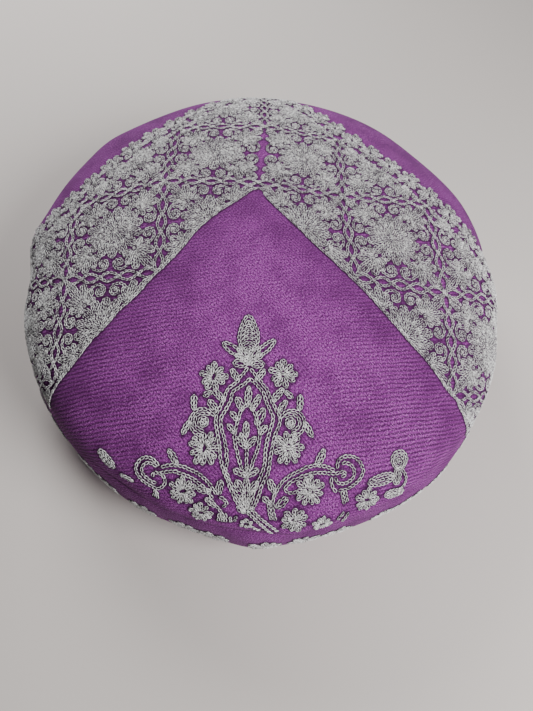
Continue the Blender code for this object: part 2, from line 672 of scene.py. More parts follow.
def disc(centre: Sequence[float], radius: float, row: float, core: float = 0.25, least: float = 0.8) -> Rows:
    """Return a round patch filled by one spiral.

    Args:
        centre: Its middle.
        radius: Radius of its outermost line.
        row: Distance between rows that lie side by side.
        core: Radius at which the spiral starts.
        least: Fewest turns of the spiral.

    Returns:
        Rows of stitches.
    """
    turns = max(radius / row, least)
    return [spiral(centre, core, radius, 0.0, turns), ring(centre, radius)]


def scales(base: Sequence[float], tip: Sequence[float], width: float, form: BudForm = BudForm()) -> Rows:
    """Return a pointed bud covered with arches that lie over one another like scales.

    Args:
        base: Where the bud starts.
        tip: Its point.
        width: Greatest width across the stitches.
        form: Its form.

    Returns:
        Rows of stitches.
    """
    start, along, side, share = pointed(base, tip, form.outline_points)
    length = float(np.linalg.norm(along))
    widest = (width - form.row) / 2
    half = widest * swelling(share, form.fullness, form.point)
    left = start + along * share - side * half
    right = start + along * share + side * half
    rows = [np.vstack([left, right[::-1][1:]])]
    for count in range(1, int(length / form.row)):
        place = count * form.row / length
        swell = float(widest * swelling(np.array(place), form.fullness, form.point))
        inside = max(swell - form.arch_inset, form.narrowest_arch)
        arch = [start + along * (place + down / length) + side * inside * aside for aside, down in form.arch]
        rows.append(smooth_line(arch, ARCH_SPAN_POINTS))
    return rows


def beside(row: np.ndarray, distance: float) -> np.ndarray:
    """Return a row beside another.

    Args:
        row: The other row.
        distance: How far to the left of it, seen along it.

    Returns:
        The row's points.
    """
    ahead = np.gradient(row, axis=0)
    ahead /= np.linalg.norm(ahead, axis=1)[:, None]
    return row + distance * np.stack([-ahead[:, 1], ahead[:, 0]], -1)


def moved(rows: Rows, shift: Sequence[float], degrees: float = 0.0, mirror: bool = False) -> Rows:
    """Return rows mirrored in the X axis if asked, then turned, then shifted.

    Args:
        rows: Rows of stitches.
        shift: How far they are shifted, across and back.
        degrees: How far they are turned.
        mirror: Whether they are mirrored.

    Returns:
        New rows.
    """
    angle = math.radians(degrees)
    turn = np.array([[math.cos(angle), math.sin(angle)], [-math.sin(angle), math.cos(angle)]])
    flip = np.array([1.0, -1.0 if mirror else 1.0])
    return [np.hstack([(row[:, :2] * flip) @ turn + np.asarray(shift, float), row[:, 2:]]) for row in rows]


def way_along(row: np.ndarray) -> np.ndarray:
    """Return how far along a row each of its points lies, seen flat."""
    steps = np.linalg.norm(np.diff(row[:, :2], axis=0), axis=1)
    return np.concatenate([[0.0], np.cumsum(steps)])


def evenly(row: np.ndarray, spans: int) -> np.ndarray:
    """Return a row as points that are evenly spaced along it.

    Args:
        row: The row.
        spans: How many equal spans it is divided into.

    Returns:
        The new points, one row each.
    """
    lengths = way_along(row)
    wanted = np.linspace(0.0, lengths[-1], spans + 1)
    return np.stack([np.interp(wanted, lengths, row[:, column]) for column in range(row.shape[1])], -1)


def densely(row: np.ndarray, step: float = 0.3) -> np.ndarray:
    """Return a row with points about every step."""
    return evenly(row, max(int(way_along(row)[-1] / step), 1))


def kept(rows: Rows, inside: Callable[[np.ndarray], np.ndarray], shortest: float = 1.2) -> Rows:
    """Return the stretches of rows that lie inside a region.

    Args:
        rows: Rows of stitches.
        inside: Tells which flat places lie inside the region.
        shortest: Length up to which a stretch is left out.

    Returns:
        New rows, with dense points.
    """
    stretches = []
    for row in rows:
        dense = densely(row)
        mask = inside(dense)
        edges = np.flatnonzero(np.diff(np.concatenate([[0], mask.astype(int), [0]])))
        for first, last in zip(edges[::2], edges[1::2]):
            stretch = dense[first:last]
            if way_along(stretch)[-1] > shortest:
                stretches.append(stretch)
    return stretches


# The lattice that the border is drawn on


@dataclass(frozen=True)
class Pin:
    """A place in steps of the lattice, and the pixel at which it shows."""

    across: float
    back: float
    x_px: float
    y_px: float


@dataclass
class Lattice:
    """Square lattice of the border, stretched over the crown.

    Places on it are in millimetres of a plain square lattice; flat() gives where they lie on
    the cloth, by a thin plate spline through the pins.
    """

    cloth: CrownCloth
    view: PhotoView
    side: float = 37.8
    pins: tuple[Pin, ...] = (
        Pin(0, 0, 258.5, 183.0),
        Pin(-1, 0, 165.0, 182.0),
        Pin(-1, -1, 157.6, 272.4),
        Pin(-2, -1, 65.6, 280.7),
        Pin(-2, 0, 81.4, 204.4),
        Pin(-2, -2, 53.0, 383.5),
        Pin(-1, 1, 179.8, 129.4),
        Pin(0, 1, 264.8, 127.6),
        Pin(1, 1, 336.1, 140.1),
        Pin(1, 0, 342.5, 196.7),
        Pin(2, 0, 425.7, 205.7),
        Pin(1, -1, 355.4, 277.8),
        Pin(2, -1, 444.6, 293.3),
        Pin(2, -2, 452.2, 395.0),
        Pin(2.5, -1, 481.9, 298.7),
        Pin(-1.5, -0.5, 115.4, 231.8),
        Pin(1.5, -0.5, 392.0, 238.4),
        Pin(-0.5, 0.5, 216.6, 153.9),
        Pin(0.5, 0.5, 304.0, 160.0),
        Pin(-2, -0.5, 70.0, 239.5),
        Pin(-2.45, -0.32, 47.2, 228.5),
        Pin(-2, -1.6, 57.2, 342.5),
    )
    weights: np.ndarray = field(init=False)
    knots: np.ndarray = field(init=False)

    def __post_init__(self) -> None:
        """Fit the spline."""
        self.knots = np.array([(pin.across, pin.back) for pin in self.pins])
        flats = self.view.flat_at(self.cloth, np.array([(pin.x_px, pin.y_px) for pin in self.pins]))
        count = len(self.knots)
        system = np.zeros((count + 3, count + 3))
        system[:count, :count] = self.bend(self.knots)
        plane = np.hstack([np.ones((count, 1)), self.knots])
        system[:count, count:] = plane
        system[count:, :count] = plane.T
        self.weights = np.linalg.solve(system, np.vstack([flats, np.zeros((3, 2))]))

    def bend(self, places: np.ndarray) -> np.ndarray:
        """Return the spline's kernel between places and the pins."""
        squared = ((places[:, None, :] - self.knots[None, :, :]) ** 2).sum(axis=2)
        return 0.5 * squared * np.log(np.maximum(squared, TINY))

    def flat(self, places: np.ndarray) -> np.ndarray:
        """Return where lattice places lie on the cloth.

        Args:
            places: Places in millimetres of the plain lattice, one row each.

        Returns:
            Flat millimetres, one row each.
        """
        shares = places / self.side
        plane = np.hstack([np.ones((len(shares), 1)), shares])
        return np.hstack([self.bend(shares), plane]) @ self.weights

    def lay(self, rows: Rows) -> Rows:
        """Return rows moved from the plain lattice to the cloth."""
        return [np.hstack([self.flat(row[:, :2]), row[:, 2:]]) for row in rows]


# Chain stitch


@dataclass(frozen=True)
class ChainSize:
    """Sizes of the chain stitch: pitch, width and the thread's radius are in millimetres.

    Overlap and set_back are shares of the pitch. Narrow_end is the width of a loop where it
    leaves the cloth, as a share of its full width. Foot and arch are heights of the loop's line
    in radii of the thread. The last three are powers that shape the loop's width and height.
    """

    pitch: float = 1.5
    width: float = 1.46
    thread: float = 0.175
    overlap: float = 1.14
    set_back: float = 0.10
    narrow_end: float = 0.45
    foot: float = 0.15
    arch: float = 2.2
    widening: float = 0.7
    rising: float = 0.6
    rounding: float = 0.8

    def loop_half_width(self) -> float:
        """Return half the width of the loop's own line."""
        return self.width / 2 - self.thread


@dataclass
class ChainStitcher:
    """Makes chain stitches along rows and lays them on a cloth.

    The unevenness of the stitches is given as standard deviations: swing in radians, width as a
    share, and drift, which moves a stitch sideways, in millimetres.
    """

    finish: bpy.types.Material
    size: ChainSize = ChainSize()
    segments: int = 10
    sides: int = 3
    swing: float = 0.06
    width_spread: float = 0.05
    drift: float = 0.05
    seed: int = 7

    def template(self) -> tuple[np.ndarray, np.ndarray]:
        """Return one link of the chain.

        Returns:
            Its points, along, across and up in millimetres, and the point numbers of its faces.
        """
        size = self.size
        phase = np.arange(self.segments) * 2 * np.pi / self.segments
        open_share = (1 - np.cos(phase)) / 2
        along = open_share * size.overlap * size.pitch - size.set_back * size.pitch
        opening = size.narrow_end + (1 - size.narrow_end) * open_share**size.widening
        across = size.loop_half_width() * np.sin(phase) * opening
        up = size.thread * (size.foot + size.arch * np.sin(np.pi * open_share**size.rising) ** size.rounding)
        line = np.stack([along, across, up], -1)
        ahead = np.roll(line, -1, axis=0) - np.roll(line, 1, axis=0)
        ahead /= np.linalg.norm(ahead, axis=1)[:, None]
        side = np.cross(ahead, [0.0, 0.0, 1.0])
        side /= np.linalg.norm(side, axis=1)[:, None]
        lift = np.cross(side, ahead)
        points = []
        for corner in range(self.sides):
            angle = math.pi / 2 + corner * 2 * math.pi / self.sides
            points.append(line + size.thread * (math.cos(angle) * side + math.sin(angle) * lift))
        grid = np.stack(points, axis=1)
        faces = []
        for place in range(self.segments):
            following = (place + 1) % self.segments
            for corner in range(self.sides):
                turned = (corner + 1) % self.sides
                near, far = place * self.sides, following * self.sides
                faces.append((near + corner, far + corner, far + turned, near + turned))
        return grid.reshape(-1, 3), np.array(faces)

    def links(self, rows: Rows) -> tuple[np.ndarray, np.ndarray]:
        """Return the links along rows.

        Args:
            rows: Rows of stitches.

        Returns:
            The start and the end of each link, with its lift in the third column.
        """
        starts, ends = [], []
        for row in rows:
            full = row if row.shape[1] == 3 else np.hstack([row, np.zeros((len(row), 1))])
            even = evenly(full, max(int(round(way_along(full)[-1] / self.size.pitch)), 1))
            starts.append(even[:-1])
            ends.append(even[1:])
        return np.vstack(starts), np.vstack(ends)

    def build(self, name: str, cloth: Cloth, rows: Rows, greyed: float = 0.0) -> bpy.types.Object:
        """Stitch rows on a cloth as one piece.

        Args:
            name: Name of the piece.
            cloth: The surface that the stitches lie on.
            rows: Its lines of stitches.
            greyed: How much darker its thread is made, from 0 to 1.

        Returns:
            The piece, riding on the cap.
        """
        rng = np.random.default_rng(self.seed + sum(map(ord, name)))
        starts, ends = self.links(rows)
        count = len(starts)
        reach = ends[:, :2] - starts[:, :2]
        length = np.linalg.norm(reach, axis=1)
        swing = rng.normal(0.0, self.swing, count)
        along_x, along_y = (reach / length[:, None]).T
        ahead_x = along_x * np.cos(swing) - along_y * np.sin(swing)
        ahead_y = along_x * np.sin(swing) + along_y * np.cos(swing)
        ahead = np.stack([ahead_x, ahead_y], -1)
        side = np.stack([-ahead_y, ahead_x], -1)
        points, faces = self.template()
        # Height within the loop, from which the thread's colour takes painted shade near the cloth
        crest = (points[:, 2] - points[:, 2].min()) / np.ptp(points[:, 2])
        stretch = (length / self.size.pitch)[:, None]
        width = rng.normal(1.0, self.width_spread, count)[:, None]
        along = points[None, :, 0] * stretch
        across = points[None, :, 1] * width + rng.normal(0.0, self.drift, count)[:, None]
        flat = starts[:, None, :2] + along[:, :, None] * ahead[:, None, :]
        flat = flat + across[:, :, None] * side[:, None, :]
        share = np.clip(along / length[:, None], 0.0, 1.0)
        lift = points[None, :, 2] + starts[:, None, 2] * (1 - share) + ends[:, None, 2] * share
        places = lay_on(cloth, flat.reshape(-1, 2), lift.reshape(-1))
        corners = (faces[None, :, :] + np.arange(count)[:, None, None] * len(points)).reshape(-1, 4)
        tone = np.repeat(rng.uniform(0.0, 1.0, count) - greyed, len(points))
        values = {"stitch_tone": tone, "crest": np.tile(crest, count)}
        piece = mesh_piece(name, places, corners, self.finish, values)
        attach(piece, BODY)
        LOG.info("%s: %d stitches, %d triangles", name, count, 2 * len(corners))
        return piece


def mesh_piece(
    name: str,
    places: np.ndarray,
    corners: np.ndarray,
    finish: bpy.types.Material,
    values: dict[str, np.ndarray],
) -> bpy.types.Object:
    """Return a smooth object of four-sided faces.

    Args:
        name: Name of the object and its mesh.
        places: Vertices in metres.
        corners: Vertex numbers of each face.
        finish: Its material.
        values: Attributes of the vertices, by name, with one or three columns.

    Returns:
        The object, linked to the scene.
    """
    mesh = bpy.data.meshes.new(name)
    mesh.vertices.add(len(places))
    mesh.vertices.foreach_set("co", places.astype(np.float32).ravel())
    mesh.loops.add(corners.size)
    mesh.loops.foreach_set("vertex_index", corners.astype(np.int32).ravel())
    mesh.polygons.add(len(corners))
    mesh.polygons.foreach_set("loop_start", np.arange(0, corners.size, 4, dtype=np.int32))
    mesh.update(calc_edges=True)
    mesh.shade_smooth()
    for label, column in values.items():
        if column.ndim == 1:
            attribute = mesh.attributes.new(label, "FLOAT", "POINT")
            attribute.data.foreach_set("value", column.astype(np.float32))
        else:
            attribute = mesh.attributes.new(label, "FLOAT_VECTOR", "POINT")
            attribute.data.foreach_set("vector", column.astype(np.float32).ravel())
    mesh.materials.append(finish)
    piece = bpy.data.objects.new(name, mesh)
    bpy.context.scene.collection.objects.link(piece)
    return piece


# Materials


class Socket:
    """A node's output socket on which arithmetic adds Math nodes."""

    def __init__(self, shader: "ShaderTree", socket: bpy.types.NodeSocket) -> None:
        """Keep the tree and the socket."""
        self.shader = shader
        self.socket = socket

    def math(self, operation: str, *values: "Socket | float") -> "Socket":
        """Return this value put through a Math node."""
        inputs = {place: value for place, value in enumerate((self, *values))}
        return self.shader.node("ShaderNodeMath", {"operation": operation}, inputs)

    def __add__(self, other: "Socket | float") -> "Socket":
        """Return the sum."""
        return self.math("ADD", other)

    def __sub__(self, other: "Socket | float") -> "Socket":
        """Return the difference."""
        return self.math("SUBTRACT", other)

    def __mul__(self, other: "Socket | float") -> "Socket":
        """Return the product."""
        return self.math("MULTIPLY", other)

    __radd__ = __add__
    __rmul__ = __mul__

    def __rsub__(self, other: float) -> "Socket":
        """Return a number less this value."""
        return (self * -1.0) + other

    def power(self, exponent: float) -> "Socket":
        """Return this value raised to a power."""
        return self.math("POWER", exponent)

    def clamped(self, low: float, high: float) -> "Socket":
        """Return this value stretched so that low becomes 0 and high becomes 1."""
        values = {"Value": self, "From Min": low, "From Max": high, "To Min": 0.0, "To Max": 1.0}
        return self.shader.node("ShaderNodeMapRange", {"clamp": True}, values)


class ShaderTree:
    """A material's node tree with its Principled shader."""

    def __init__(self, name: str) -> None:
        """Start the material.

        Args:
            name: Its name.
        """
        self.material = bpy.data.materials.new(name)
        self.material.use_nodes = True
        self.tree = self.material.node_tree
        self.principled = self.tree.nodes["Principled BSDF"]

    def node(
        self,
        kind: str,
        settings: dict[str, object] | None = None,
        values: dict[str | int, object] | None = None,
        output: str | int = 0,
    ) -> Socket:
        """Add a node.

        Args:
            kind: The node's type.
            settings: Its own settings, which are set first.
            values: Numbers or links of its input sockets, by name or place.
            output: The output socket to return.

        Returns:
            The output socket.
        """
        node = self.tree.nodes.new(kind)
        for label, setting in (settings or {}).items():
            setattr(node, label, setting)
        for label, value in (values or {}).items():
            self.set_input(node.inputs[label], value)
        return Socket(self, node.outputs[output])

    def set_input(self, entry: bpy.types.NodeSocket, value: object) -> None:
        """Link or set one input socket.

        Args:
            entry: The input socket.
            value: What feeds it, or its number or colour.
        """
        if isinstance(value, Socket):
            self.tree.links.new(value.socket, entry)
        else:
            entry.default_value = value

    def mix(self, share: Socket | float, low: object, high: object) -> Socket:
        """Return a mix of two colours."""
        settings = {"data_type": "RGBA"}
        return self.node("ShaderNodeMix", settings, {0: share, 6: low, 7: high}, 2)

    def noise(self, place: Socket, scale: float, detail: float = 3.0, roughness: float = 0.5) -> Socket:
        """Return noise between 0 and 1 over a place vector."""
        values = {"Vector": place, "Scale": scale, "Detail": detail, "Roughness": roughness}
        return self.node("ShaderNodeTexNoise", {}, values)

    def attribute(self, name: str, output: str) -> Socket:
        """Return a vertex attribute."""
        return self.node("ShaderNodeAttribute", {"attribute_name": name}, {}, output)

    def bump(self, height: Socket, distance: float, below: Socket | None = None) -> Socket:
        """Return a normal bent by a height.

        Args:
            height: The height, about 0 to 1.
            distance: What a height of 1 is, in metres.
            below: A normal that is bent already.

        Returns:
            The normal.
        """
        values: dict[str | int, object] = {"Height": height, "Distance": distance, "Strength": 1.0}
        if below is not None:
            values["Normal"] = below
        return self.node("ShaderNodeBump", {}, values)

    def dress(self, **values: object) -> bpy.types.Material:
        """Set the Principled shader's inputs.

        Args:
            values: Numbers, colours or links by the input's name in small letters.

        Returns:
            The material.
        """
        for label, value in values.items():
            title = label.replace("_", " ").title().replace("Ior", "IOR")
            self.set_input(self.principled.inputs[title], value)
        return self.material


@dataclass(frozen=True)
class TwillFinish:
    """Fulled purple cloth: ribs that run across the cap, a fine twill and a soft nap.

    Lengths are in millimetres on the flat cloth and relief in metres. A scale is the number of
    clouds of noise for each millimetre, a span holds the values that count as 0 and as 1, and a
    share is how much of a colour is mixed in at most. The middle of the crown is flecked, and
    toward the sides the ribs take over.
    """

    rib_pitch: float = 1.45
    rib_lean: float = 0.23
    rib_fullness: float = 0.45
    rib_depth: float = 1.5
    rib_relief: float = 0.00016
    drift_scale: float = 0.03
    drift: float = 2.0
    waver_scale: float = 0.16
    waver: float = 1.2
    patch_scale: float = 0.035
    patch_span: Span = (0.35, 0.65)
    least_patch: float = 0.6
    outer_span: Span = (12.0, 55.0)
    least_outer: float = 0.25
    twill_pitch: float = 1.02
    twill_across: float = 0.66
    twill_back: float = 0.75
    twill_waver: float = 0.4
    twill_depth: float = 0.66
    twill_depth_loss: float = 0.5
    twill_height: float = 0.5
    twill_relief: float = 0.00005
    grain_length: float = 0.55
    speckle_scale: float = 2.7
    speckle_roughness: float = 0.8
    fleck_depth: float = 7.6
    fleck_depth_loss: float = 5.4
    mean_depth: float = 0.76
    nap_span: Span = (0.52, 0.66)
    nap_share: float = 0.84
    blotch_scale: float = 0.09
    blotch_span: Span = (0.42, 0.68)
    blotch_share: float = 0.42
    edge_darkening_share: float = 0.38
    # Painted shade beside the stitches and along the seam, from the stitched attribute
    stitch_shade_span: Span = (0.55, 0.92)
    stitch_shade_share: float = 0.88
    # Darkest cloth: painted shade in the rib valleys, and the dark tone of the blotches and near the border's
    # edge
    shade: Colour = (0.060, 0.008, 0.064, 1.0)
    cloth: Colour = (0.270, 0.040, 0.285, 1.0)
    nap: Colour = (0.600, 0.230, 0.625, 1.0)
    # Colour of the painted shade beside the stitches and along the seam
    painted_stitch_shade: Colour = (0.040, 0.006, 0.043, 1.0)
    roughness: float = 0.85
    specular: float = 0.08
    sheen: float = 0.02

    def build(self) -> bpy.types.Material:
        """Build the material's nodes.

        Returns:
            The material.
        """
        shader = ShaderTree(Slot.TWILL.value)
        flat = shader.attribute("flat", "Vector")
        back = shader.node("ShaderNodeSeparateXYZ", {}, {0: flat}, "Y")
        across = shader.node("ShaderNodeSeparateXYZ", {}, {0: flat}, "X")
        drift = shader.noise(flat, self.drift_scale, 2.0) * self.drift
        waver = shader.noise(flat, self.waver_scale, 2.0) * self.waver
        rib_phase = (back - across * self.rib_lean + drift + waver) * (2 * math.pi / self.rib_pitch)
        ribs = (rib_phase.math("SINE") * 0.5 + 0.5).power(self.rib_fullness)
        patches = shader.noise(flat, self.patch_scale, 2.0).clamped(*self.patch_span)
        outer = across.math("ABSOLUTE").clamped(*self.outer_span)
        rib_share = patches * (1 - self.least_patch) + self.least_patch
        rib_share = rib_share * (outer * (1 - self.least_outer) + self.least_outer)
        along_twill = across * self.twill_across + back * self.twill_back
        over_twill = back * self.twill_across - across * self.twill_back
        twill_phase = (along_twill + waver * self.twill_waver) * (2 * math.pi / self.twill_pitch)
        twill = twill_phase.math("SINE") * 0.5 + 0.5
        places = {"X": along_twill, "Y": over_twill * self.grain_length}
        grain = shader.node("ShaderNodeCombineXYZ", {}, places)
        speckle = shader.noise(grain, self.speckle_scale, 3.0, self.speckle_roughness)
        blotch = shader.noise(flat, self.blotch_scale, 3.0)
        flecks = (speckle - 0.5) * (self.fleck_depth - outer * self.fleck_depth_loss)
        lines = (twill - 0.5) * (self.twill_depth - outer * self.twill_depth_loss)
        # Painted shade: the rib valleys are darkened toward the shade colour as well as bumped; twill lines
        # and flecks are the cloth's own tone
        depth = (ribs - 1.0) * rib_share * self.rib_depth + lines + flecks + self.mean_depth
        tint = shader.mix(depth.clamped(0.0, 1.0), self.shade, self.cloth)
        tint = shader.mix(speckle.clamped(*self.nap_span) * self.nap_share, tint, self.nap)
        tint = shader.mix(blotch.clamped(*self.blotch_span) * self.blotch_share, tint, self.shade)
        # The plain cloth is coloured darker near the border's edge
        drawn = shader.attribute("darker_near_edge", "Fac")
        tint = shader.mix(drawn * self.edge_darkening_share, tint, self.shade)
        # Painted shade: the cloth is coloured darker beside the stitches and along the seam
        near = shader.attribute("stitched", "Fac").clamped(*self.stitch_shade_span)
        tint = shader.mix(near * self.stitch_shade_share, tint, self.painted_stitch_shade)
        relief = shader.bump(ribs * rib_share, self.rib_relief)
        relief = shader.bump(twill * self.twill_height + speckle, self.twill_relief, relief)
        return shader.dress(
            base_color=tint,
            roughness=self.roughness,
            specular_ior_level=self.specular,
            sheen_weight=self.sheen,
            normal=relief,
        )


@dataclass(frozen=True)
class ThreadFinish:
    """Grey twisted embroidery thread, with painted shade where it dips into the cloth.

    A scale is the number of clouds of noise for each metre, a weight tells how much a value
    counts in the mix of dark and light, and relief is in metres.
    """

    dark: Colour = (0.050, 0.032, 0.052, 1.0)
    light: Colour = (0.95, 0.96, 0.945, 1.0)
    fibre_scale: float = 1500.0
    fibre_roughness: float = 0.8
    fibre_relief: float = 0.00012
    wear_scale: float = 90.0
    # Weight of the painted shade low on each loop
    crest_shade_weight: float = 1.2
    tone_weight: float = 0.5
    fibre_weight: float = 3.4
    wear_weight: float = 0.3
    light_span: Span = (0.50, 1.62)
    roughness: float = 0.6
    specular: float = 0.3

    def build(self) -> bpy.types.Material:
        """Build the material's nodes.

        Returns:
            The material.
        """
        shader = ShaderTree(Slot.THREAD.value)
        tone = shader.attribute("stitch_tone", "Fac")
        place = shader.node("ShaderNodeTexCoord", {}, {}, "Object")
        fibre = shader.noise(place, self.fibre_scale, 2.0, self.fibre_roughness)
        wear = shader.noise(place, self.wear_scale, 2.0)
        crest = shader.attribute("crest", "Fac")
        # Painted shade: the thread is coloured darker low on each loop, near the cloth
        share = crest * self.crest_shade_weight + tone * self.tone_weight
        share = share + (fibre - 0.5) * self.fibre_weight + wear * self.wear_weight
        tint = shader.mix(share.clamped(*self.light_span), self.dark, self.light)
        relief = shader.bump(fibre, self.fibre_relief)
        return shader.dress(
            base_color=tint,
            roughness=self.roughness,
            specular_ior_level=self.specular,
            normal=relief,
        )


# Cloth pieces


@dataclass
class Crown:
    """The domed crown, one cloth with an outer and an inner face.

    The first and last reach are those of the rings next to its outer and inner middle. Shade is
    painted into the cloth's colour within seam_shade of the seam, and the plain cloth is coloured
    darker within about edge_darkening_reach of the border's edge, both in millimetres.
    """

    shape: CapShape
    cloth: CrownCloth
    azimuths: int = 400
    outer_rings: int = 125
    inner_rings: int = 22
    first_reach: float = 0.004
    last_reach: float = 0.02
    seam_shade: float = 1.5
    edge_darkening_reach: float = 12.0

    def build(self, finish: bpy.types.Material, rows: Rows, edge_rows: Rows) -> bpy.types.Object:
        """Build the crown and let it stand for its solid.

        Args:
            finish: The cloth's material.
            rows: All rows of stitches on it, beside which shade is painted into the cloth's colour.
            edge_rows: The rows along the border's edge, near which the plain cloth is coloured darker.

        Returns:
            The piece, riding on the cap.
        """
        azimuth = np.arange(self.azimuths) * 2 * np.pi / self.azimuths
        rings, flats = [], []
        outer = [(reach, 0.0) for reach in np.linspace(self.first_reach, 1.0, self.outer_rings)]
        inner = [(reach, self.shape.cloth) for reach in np.linspace(1.0, self.last_reach, self.inner_rings)]
        for reach, inset in outer + inner:
            level = np.full_like(azimuth, reach)
            length = np.interp(reach, self.cloth.reaches, self.cloth.lengths)
            rings.append(self.shape.crown_point(azimuth, level, inset))
            flats.append(around(azimuth, length))
        places, corners = close_rings(rings)
        flat = capped(flats)
        # Painted shade along the seam, joined with the painted shade beside the stitches
        painted_seam_shade = np.clip(np.hypot(flat[:, 0], flat[:, 1]) - self.cloth.edge + self.seam_shade, 0, 1)
        values = {
            "flat": flat,
            "stitched": np.maximum(nearness(flat, rows), painted_seam_shade),
            "darker_near_edge": nearness(flat, edge_rows, self.edge_darkening_reach),
        }
        piece = mesh_piece("crown_cloth", places, corners, finish, values)
        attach(piece, BODY)
        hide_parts("crown")
        LOG.info("crown_cloth: %d faces", len(corners))
        return piece


@dataclass
class SideBand:
    """The side band, one cloth turned up inside at the rim.

    Crown_edge is the crown's length up to the seam, from which the band's texture goes on, and
    seam_shade the height over which shade is painted into the cloth's colour toward the seam, both
    in millimetres.
    """

    shape: CapShape
    crown_edge: float
    azimuths: int = 288
    outer_rings: int = 34
    inner_rings: int = 10
    seam_shade: float = 5.0

    def build(self, finish: bpy.types.Material, rows: Rows) -> bpy.types.Object:
        """Build the band and let it stand for its solid.

        Args:
            finish: The cloth's material.
            rows: All rows of stitches on it, beside which shade is painted into the cloth's colour.

        Returns:
            The piece, riding on the cap.
        """
        shape = self.shape
        azimuth = np.arange(self.azimuths) * 2 * np.pi / self.azimuths
        top = shape.band_height - shape.seam_gap / 2
        hem_top = shape.hem_height + shape.hem_step
        steps = [(height, 0.0) for height in np.linspace(0.0, top, self.outer_rings)]
        steps += [(height, shape.cloth) for height in np.linspace(top, hem_top, self.inner_rings)]
        steps += [(share * shape.hem_height, shape.hem_thickness) for share in (1.0, 0.5, 0.0)]
        rings, flats, spreads = [], [], []
        for height, inset in steps:
            level = np.full_like(azimuth, height)
            rings.append(shape.band_point(azimuth, level, inset))
            flats.append(np.stack([azimuth * shape.crown_radius / MM, level / MM, 0 * azimuth], -1))
            spreads.append(around(azimuth, self.crown_edge + (top - height) / MM))
        count = len(rings)
        corners = np.vstack([ring_faces(place, (place + 1) % count, self.azimuths) for place in range(count)])
        flat = np.vstack(flats)
        # Painted shade under the seam, joined with the painted shade beside the stitches
        painted_seam_shade = np.clip((flat[:, 1] - top / MM + self.seam_shade) / self.seam_shade, 0, 1)
        values = {"flat": np.vstack(spreads), "stitched": np.maximum(nearness(flat, rows), painted_seam_shade)}
        piece = mesh_piece("side_band_cloth", np.vstack(rings), corners, finish, values)
        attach(piece, BODY)
        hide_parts("side_band")
        LOG.info("side_band_cloth: %d faces", len(corners))
        return piece


def around(azimuth: np.ndarray, length: float) -> np.ndarray:
    """Return flat places on a circle about the crown's highest point, with a third column of 0."""
    return np.stack([length * np.cos(azimuth), length * np.sin(azimuth), 0 * azimuth], -1)


def nearness(flat: np.ndarray, rows: Rows, reach: float = 1.7, step: float = 0.7) -> np.ndarray:
    """Return how near rows of stitches are.

    Args:
        flat: Flat places, one row each.
        rows: Rows of stitches.
        reach: Distance at which nearness has fallen to about a third.
        step: Distance between the points that stand for the rows.

    Returns:
        1 on a row and 0 far away, for each place.
    """
    stitches = np.vstack([densely(row, step)[:, :2] for row in rows])
    tree = KDTree(len(stitches))
    for place, (across, back) in enumerate(stitches):
        tree.insert((across, back, 0.0), place)
    tree.balance()
    apart = np.array([tree.find((across, back, 0.0))[2] for across, back in flat[:, :2]])
    return np.exp(-((apart / reach) ** 2))


def ring_faces(lower: int, upper: int, count: int) -> np.ndarray:
    """Return the faces between two rings of vertices.

    Args:
        lower: Place of one ring among the mesh's rings.
        upper: Place of the other.
        count: How many vertices a ring has.

    Returns:
        Vertex numbers of each face.
    """
    here = np.arange(count)
    following = (here + 1) % count
    start, stop = lower * count, upper * count
    return np.stack([start + here, start + following, stop + following, stop + here], -1)


def close_rings(rings: list[np.ndarray]) -> tuple[np.ndarray, np.ndarray]:
    """Return a closed mesh of rings, with a fan of four-sided faces at both ends.

    Args:
        rings: Rings of vertices, of which the first and the last are small.

    Returns:
        The vertices, with a middle one before and after the rings, and the faces' vertex numbers.
    """
    count = len(rings[0])
    places = np.vstack([rings[0].mean(axis=0), *rings, rings[-1].mean(axis=0)])
    walls = [ring_faces(place + 1, place, count) + 1 for place in range(len(rings) - 1)]
    here = np.arange(0, count, 2)
    first = np.stack([np.zeros_like(here), here + 1, here + 2, (here + 2) % count + 1], -1)
    start = 1 + (len(rings) - 1) * count
    end = np.full_like(here, len(places) - 1)
    last = np.stack([end, (here + 2) % count + start, here + 1 + start, here + start], -1)
    return places, np.vstack([first, *walls, last])


def capped(columns: list[np.ndarray]) -> np.ndarray:
    """Return ring values with the two end vertices added."""
    return np.vstack([columns[0].mean(axis=0), *columns, columns[-1].mean(axis=0)])


# Embroidery of the border


